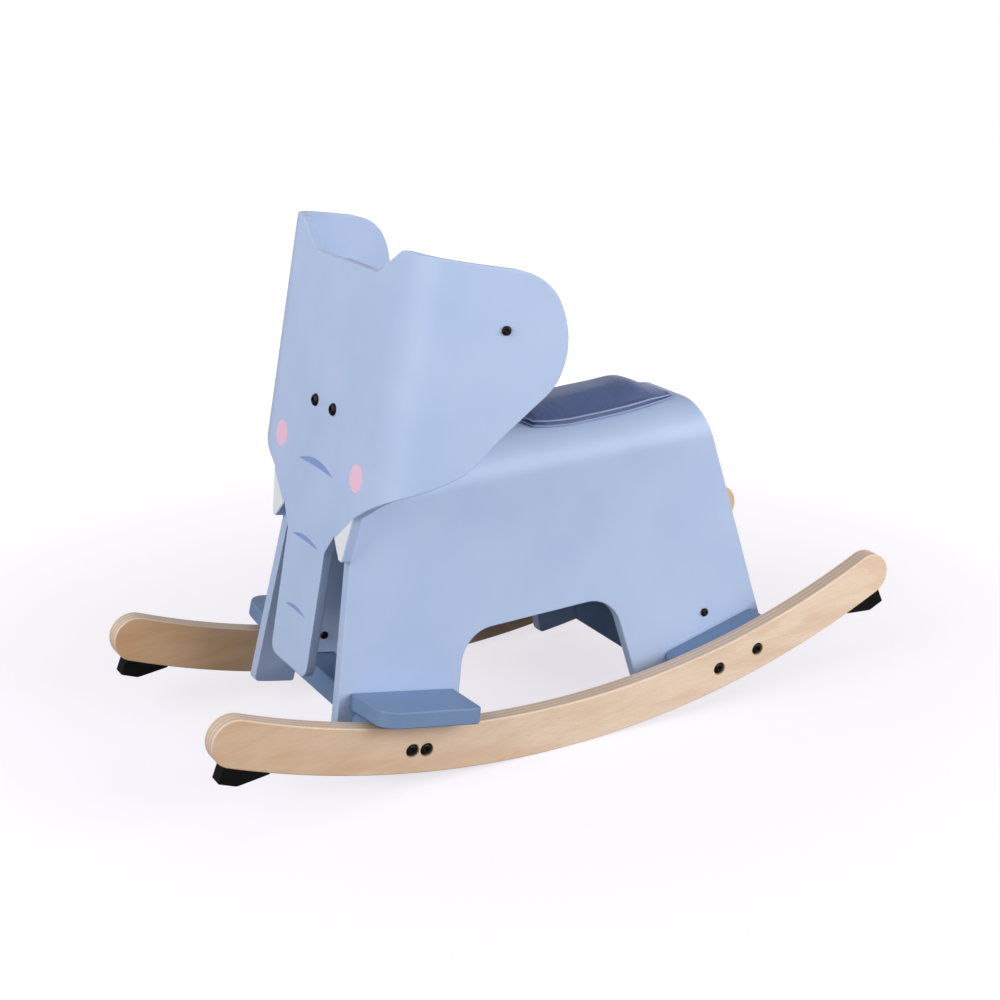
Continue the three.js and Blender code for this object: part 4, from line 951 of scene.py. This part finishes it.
def seat_grid(inset):
    """Plan of the cushion as a grid of across and along shares: x = s * half width(y), its two ends bowed out by
    (1 - s ** 2) times 1.5 mm in front and 1 mm behind, all drawn in by inset."""
    s = np.linspace(-1, 1, SEAT_ACROSS + 1)[:, None]
    y = np.linspace(seat_side[0, 1] + inset, seat_side[-1, 1] - inset, SEAT_ALONG + 1)[None]
    x = s * (np.interp(y, seat_side[:, 1], seat_side[:, 0]) - inset)
    share = (y - y[0, 0]) / (y[0, -1] - y[0, 0])
    bow = (1 - s ** 2) * (1.0 * np.clip(share * 4 - 3, 0, 1) ** 2 - 1.5 * np.clip(1 - share * 3.5, 0, 1) ** 2)
    return np.stack([x, y + bow], -1)


def outline_of(grid):
    """Counterclockwise rim of a grid."""
    return np.concatenate([grid[:-1, 0], grid[-1, :-1], grid[:0:-1, -1], grid[0, :0:-1]])


def crown_of_pad(plan):
    """Height of the stuffed top over the body's crown: a crest along the toy, highest near the rear, whose section
    falls from the crest to the seam as (1 - s ** 2.6) ** 0.8, and which runs out to the front and rear seams."""
    y = plan[0, :, 1]
    crest = np.interp(y, [-5, 5, 20, 40, 70, 95, 112, 120, 128, 136, 144, 152, 158, 162],
                      [5.2, 8.2, 12.4, 15.0, 16.4, 17.3, 19.1, 18.9, 15.0, 10.6, 6.6, 3.8, 2.6, 2.4])
    crest = np.convolve(np.pad(crest, 2, "edge"), np.ones(5) / 5, "valid")
    s = np.linspace(-1, 1, SEAT_ACROSS + 1)[:, None]
    low = SEAM_HIGH * rim_share(y)[None]
    return low + (crest[None] - low).clip(0) * (1 - np.abs(s) ** 2.6) ** 0.8


def rim_share(y):
    """How tall the border is: full along the sides, pressed flat towards the rear."""
    return np.interp(y, [-5, 12, 130, 162], [0.85, 1, 1, 0.4])


def stuffed(points, faces, rim):
    """The top cover blown up a little by cloth simulation, so that it takes the tension and wrinkles of a sewn pad:
    its rim is pinned, the cloth is cut a share CLOTH_SPARE large, and no point may move more than CLOTH_MOST. It runs
    at ten times life size, where Blender's own stiffness suits it."""
    mesh = bpy.data.meshes.new("cover_at_work")
    mesh.from_pydata((points / 100).tolist(), [], faces.tolist())
    work = link("cover_at_work", mesh)
    work.vertex_groups.new(name="rim").add(rim.tolist(), 1.0, "REPLACE")
    cloth = work.modifiers.new("cloth", "CLOTH")
    for key, value in dict(quality=8, vertex_group_mass="rim", shrink_min=-CLOTH_SPARE, bending_stiffness=0.3,
                           use_pressure=True, uniform_pressure_force=3).items():
        setattr(cloth.settings, key, value)
    cloth.settings.effector_weights.gravity = 0
    cloth.point_cache.frame_start = 1
    cloth.point_cache.frame_end = CLOTH_FRAMES
    for moment in range(1, CLOTH_FRAMES + 1):
        bpy.context.scene.frame_set(moment)
    done = work.evaluated_get(bpy.context.evaluated_depsgraph_get()).to_mesh()
    moved = np.zeros(len(points) * 3)
    done.vertices.foreach_get("co", moved)
    bpy.data.objects.remove(work)
    bpy.data.meshes.remove(mesh)
    bpy.context.scene.frame_set(1)
    step = moved.reshape(-1, 3) * 100 - points
    far = np.linalg.norm(step, axis=1)[:, None]
    return points + step * np.minimum(1, CLOTH_MOST / np.maximum(far, 1e-9))


def grid_quads(across, along):
    """Quads of a grid whose first index runs across, facing up."""
    a = np.arange(across)[:, None] * (along + 1) + np.arange(along)
    return np.stack([a, a + along + 1, a + along + 2, a + 1], -1).reshape(-1, 4)


def cushion():
    """Boxed pad in one closed skin: a flat underside that lies on the body's crown, a border with a sunk middle, a
    stitched trough and the stuffed top. Each ring between them is the outline drawn in by a share of the border's
    width, at a height over the crown. Also the middle lines of the two pipings, and the line of the stitches."""
    top, outer, inner = seat_grid(SEAM_IN), outline_of(seat_grid(0)), outline_of(seat_grid(SEAM_IN))
    profile = np.array([[UNDERSIDE_IN, 0.05], [2.4, 0.05], [1.8, 0.4], [1.6, 1.1], [2.6, 1.9], [3.4, 2.9], [2.9, 3.9],
                        [2.1, 4.7], [2.3, 5.4], [3.0, 5.8], [3.7, 5.2], [SEAM_IN, 4.7]])
    share = rim_share(outer[:, 1])
    rings = over_crown(outer + (inner - outer) * (profile[:, :1, None] / SEAM_IN), profile[:, 1:] * share)
    size, rim = top.shape[0] * top.shape[1], len(outer)
    number = np.arange(size).reshape(top.shape[:2])
    border = outline_of(number[..., None])[:, 0]
    panel = over_crown(top, crown_of_pad(top)).reshape(-1, 3)
    quads = grid_quads(SEAT_ACROSS, SEAT_ALONG)
    panel = stuffed(panel, quads, border)
    panel[border] = rings[-1]
    base = over_crown(seat_grid(UNDERSIDE_IN), 0.05).reshape(-1, 3)
    base[border] = rings[0]
    middle = rings[1:-1].reshape(-1, 3)
    points = np.concatenate([base, middle, panel])
    ring = [border, *(size + np.arange(rim) + k * rim for k in range(len(rings) - 2)), size + len(middle) + border]
    faces = [quads[:, ::-1], quads + size + len(middle)]
    for low, high in zip(ring, ring[1:]):
        faces.append(np.stack([low, np.roll(low, -1), np.roll(high, -1), high], 1))
    return new_mesh(points, faces), [over_crown(outer + (inner - outer) * inset / SEAM_IN, lift * share)
                                     for inset, lift in (PIPING_LOW, PIPING_HIGH, STITCH_LINE)]


def tube(axis, along, radius, count, lift=0.0):
    """Circles of count points round the points of an axis, square to its way along and raised by lift."""
    along = unit(along)
    beside = unit(np.cross(along, [0, 0, 1.0]))
    above = np.cross(beside, along)
    c, k = spokes(count)
    return (axis + lift * above)[..., None, :] + radius * (c[:, None] * beside[..., None, :]
                                                           + k[:, None] * above[..., None, :])


def cord(path, radius, sides=14):
    """Piping: a tube round a closed path."""
    points = tube(path, np.roll(path, -1, 0) - np.roll(path, 1, 0), radius, sides).reshape(-1, 3)
    return new_mesh(points, [ring_quads(len(path) + 1, sides) % len(points)])


def stitches(path, long, gap, thick, rings=7, sides=6):
    """Thread laid along a closed path in short bent capsules: each is a tube whose axis rises in the middle as
    sin(pi * t) and whose radius is thick * sqrt(1 - (2 t - 1) ** 6)."""
    closed = np.concatenate([path, path[:1]])
    length = np.r_[0, np.cumsum(np.linalg.norm(np.diff(closed, axis=0), axis=1))]
    count = int(length[-1] / (long + gap))
    t = np.linspace(0, 1, rings)
    where = (np.arange(count)[:, None] + t[None] * long / (long + gap)) * length[-1] / count
    axis = np.stack([np.interp(where, length, closed[:, k]) for k in range(3)], -1)
    radius = thick * np.sqrt(np.maximum(1 - (2 * t - 1) ** 6, 0.02))[:, None, None]
    points = tube(axis, np.gradient(axis, axis=1), radius, sides, 0.7 * thick * np.sin(np.pi * t)[:, None])
    start = np.arange(count)[:, None, None] * rings * sides
    ends = np.stack([np.arange(sides)[::-1], (rings - 1) * sides + np.arange(sides)])
    faces = [(part + start).reshape(-1, part.shape[1]) for part in (ring_quads(rings, sides), ends)]
    return new_mesh(points.reshape(-1, 3), faces)


mesh, (low, high, stitched) = cushion()
pad = show("seat_pad", mesh, cover, "leatherette", "seat_cushion")
show("seat_piping_low", cord(low, radius=0.8), piping, "leatherette")
show("seat_piping_high", cord(high, radius=0.7), piping, "leatherette")
show("seat_stitches", stitches(stitched, long=2.6, gap=0.9, thick=0.22), thread, "leatherette")


def on_seat(x, y, deep):
    """Seat board, deep from its top."""
    return np.stack([x, y, SEAT_BASE + SEAT_BOARD - deep], 1)


plan = oblong(-SEAT_BOARD_HALF_WIDE, 9, SEAT_BOARD_HALF_WIDE, SEAT_REAR - 12, 8, 8, 8)
show("pad_board", board(plan, on_seat, SEAT_BOARD, edge=0.5), beech, "beech_ply", "seat_board")


# ---- Floor, light and camera ----

# Pale matt floor that keeps the toy's soft shadow; to the camera it is lifted to the white of the backdrop, more so
# with the distance from the toy, as the studio lamps' light falls off.
material = bpy.data.materials.new("pale_floor")
node = emptied(material)
matt = node("BsdfDiffuse", {"Color": "98989a"})
far = node("VectorMath", {0: node("TexCoord", out="Object")}, operation="LENGTH")
white = node("MapRange", {0: far, 1: 0.25, 2: 1.2, 3: 0.73, 4: 1.0}, interpolation_type="SMOOTHSTEP")
lift = node("Math", {0: node("LightPath", out="Is Camera Ray"), 1: white}, operation="MULTIPLY")
glow = node("Emission", {"Color": "fdf9ff", "Strength": lift})
node("OutputMaterial", {0: node("AddShader", {0: matt, 1: glow})})
mesh = bpy.data.meshes.new("floor")
mesh.from_pydata([(-9, -9, 0), (9, -9, 0), (9, 9, 0), (-9, 9, 0)], [], [(0, 1, 2, 3)])
mesh.materials.append(material)
link("floor", mesh)

# Seen or mirrored, the room is white; as a light it is dim, and the lamps do the work.
world = bpy.data.worlds.new("white_studio")
bpy.context.scene.world = world
node = emptied(world)
seen, mirrored, through = (node("LightPath", out=f"Is {kind} Ray") for kind in ("Camera", "Glossy", "Transmission"))
for ray in (mirrored, through):
    seen = node("Math", {0: seen, 1: ray}, operation="MAXIMUM")
room = node("Background", {"Color": "f6f8ff", "Strength": 0.183})
white = node("Background", {"Color": "ffffff", "Strength": 1.0})
node("OutputWorld", {0: node("MixShader", {0: seen, 1: room, 2: white})})

# Square softboxes that face the toy: place and size in metres, power in watts.
for name, place, size, power, colour in (
        ("key_light", (2.2, 1.0, 1.0), 1.4, 35.5, "fdfdff"),
        ("high_light", (1.5, 0.9, 2.0), 1.6, 3, "ffffff"),
        ("fill_light", (0.4, -2.2, 1.5), 1.8, 40, "fdfdff"),
        ("front_light", (0.5, -2.5, 0.75), 1.3, 10, "ffffff"),
        ("rear_light", (1.4, 2.1, 0.8), 1.2, 19, "ffffff")):
    data = bpy.data.lights.new(name, "AREA")
    data.shape, data.size, data.energy, data.color = "SQUARE", size, power, linear(colour)[:3]
    lamp = link(name, data)
    lamp.location = place
    lamp.rotation_euler = (Vector(LAMP_AIM) - Vector(place)).to_track_quat("-Z", "Y").to_euler()

data = bpy.data.cameras.new("camera")
data.sensor_width, data.lens, data.clip_end = 36, 62.69, 50
camera = link("camera", data)
camera.location = (1.25904, -0.73070, 0.67160)
camera.rotation_euler = ((90 - CAMERA_RISE) * DEG, 0, CAMERA_TURN * DEG)
bpy.context.scene.camera = camera
bpy.context.scene.view_settings.view_transform = "Standard"
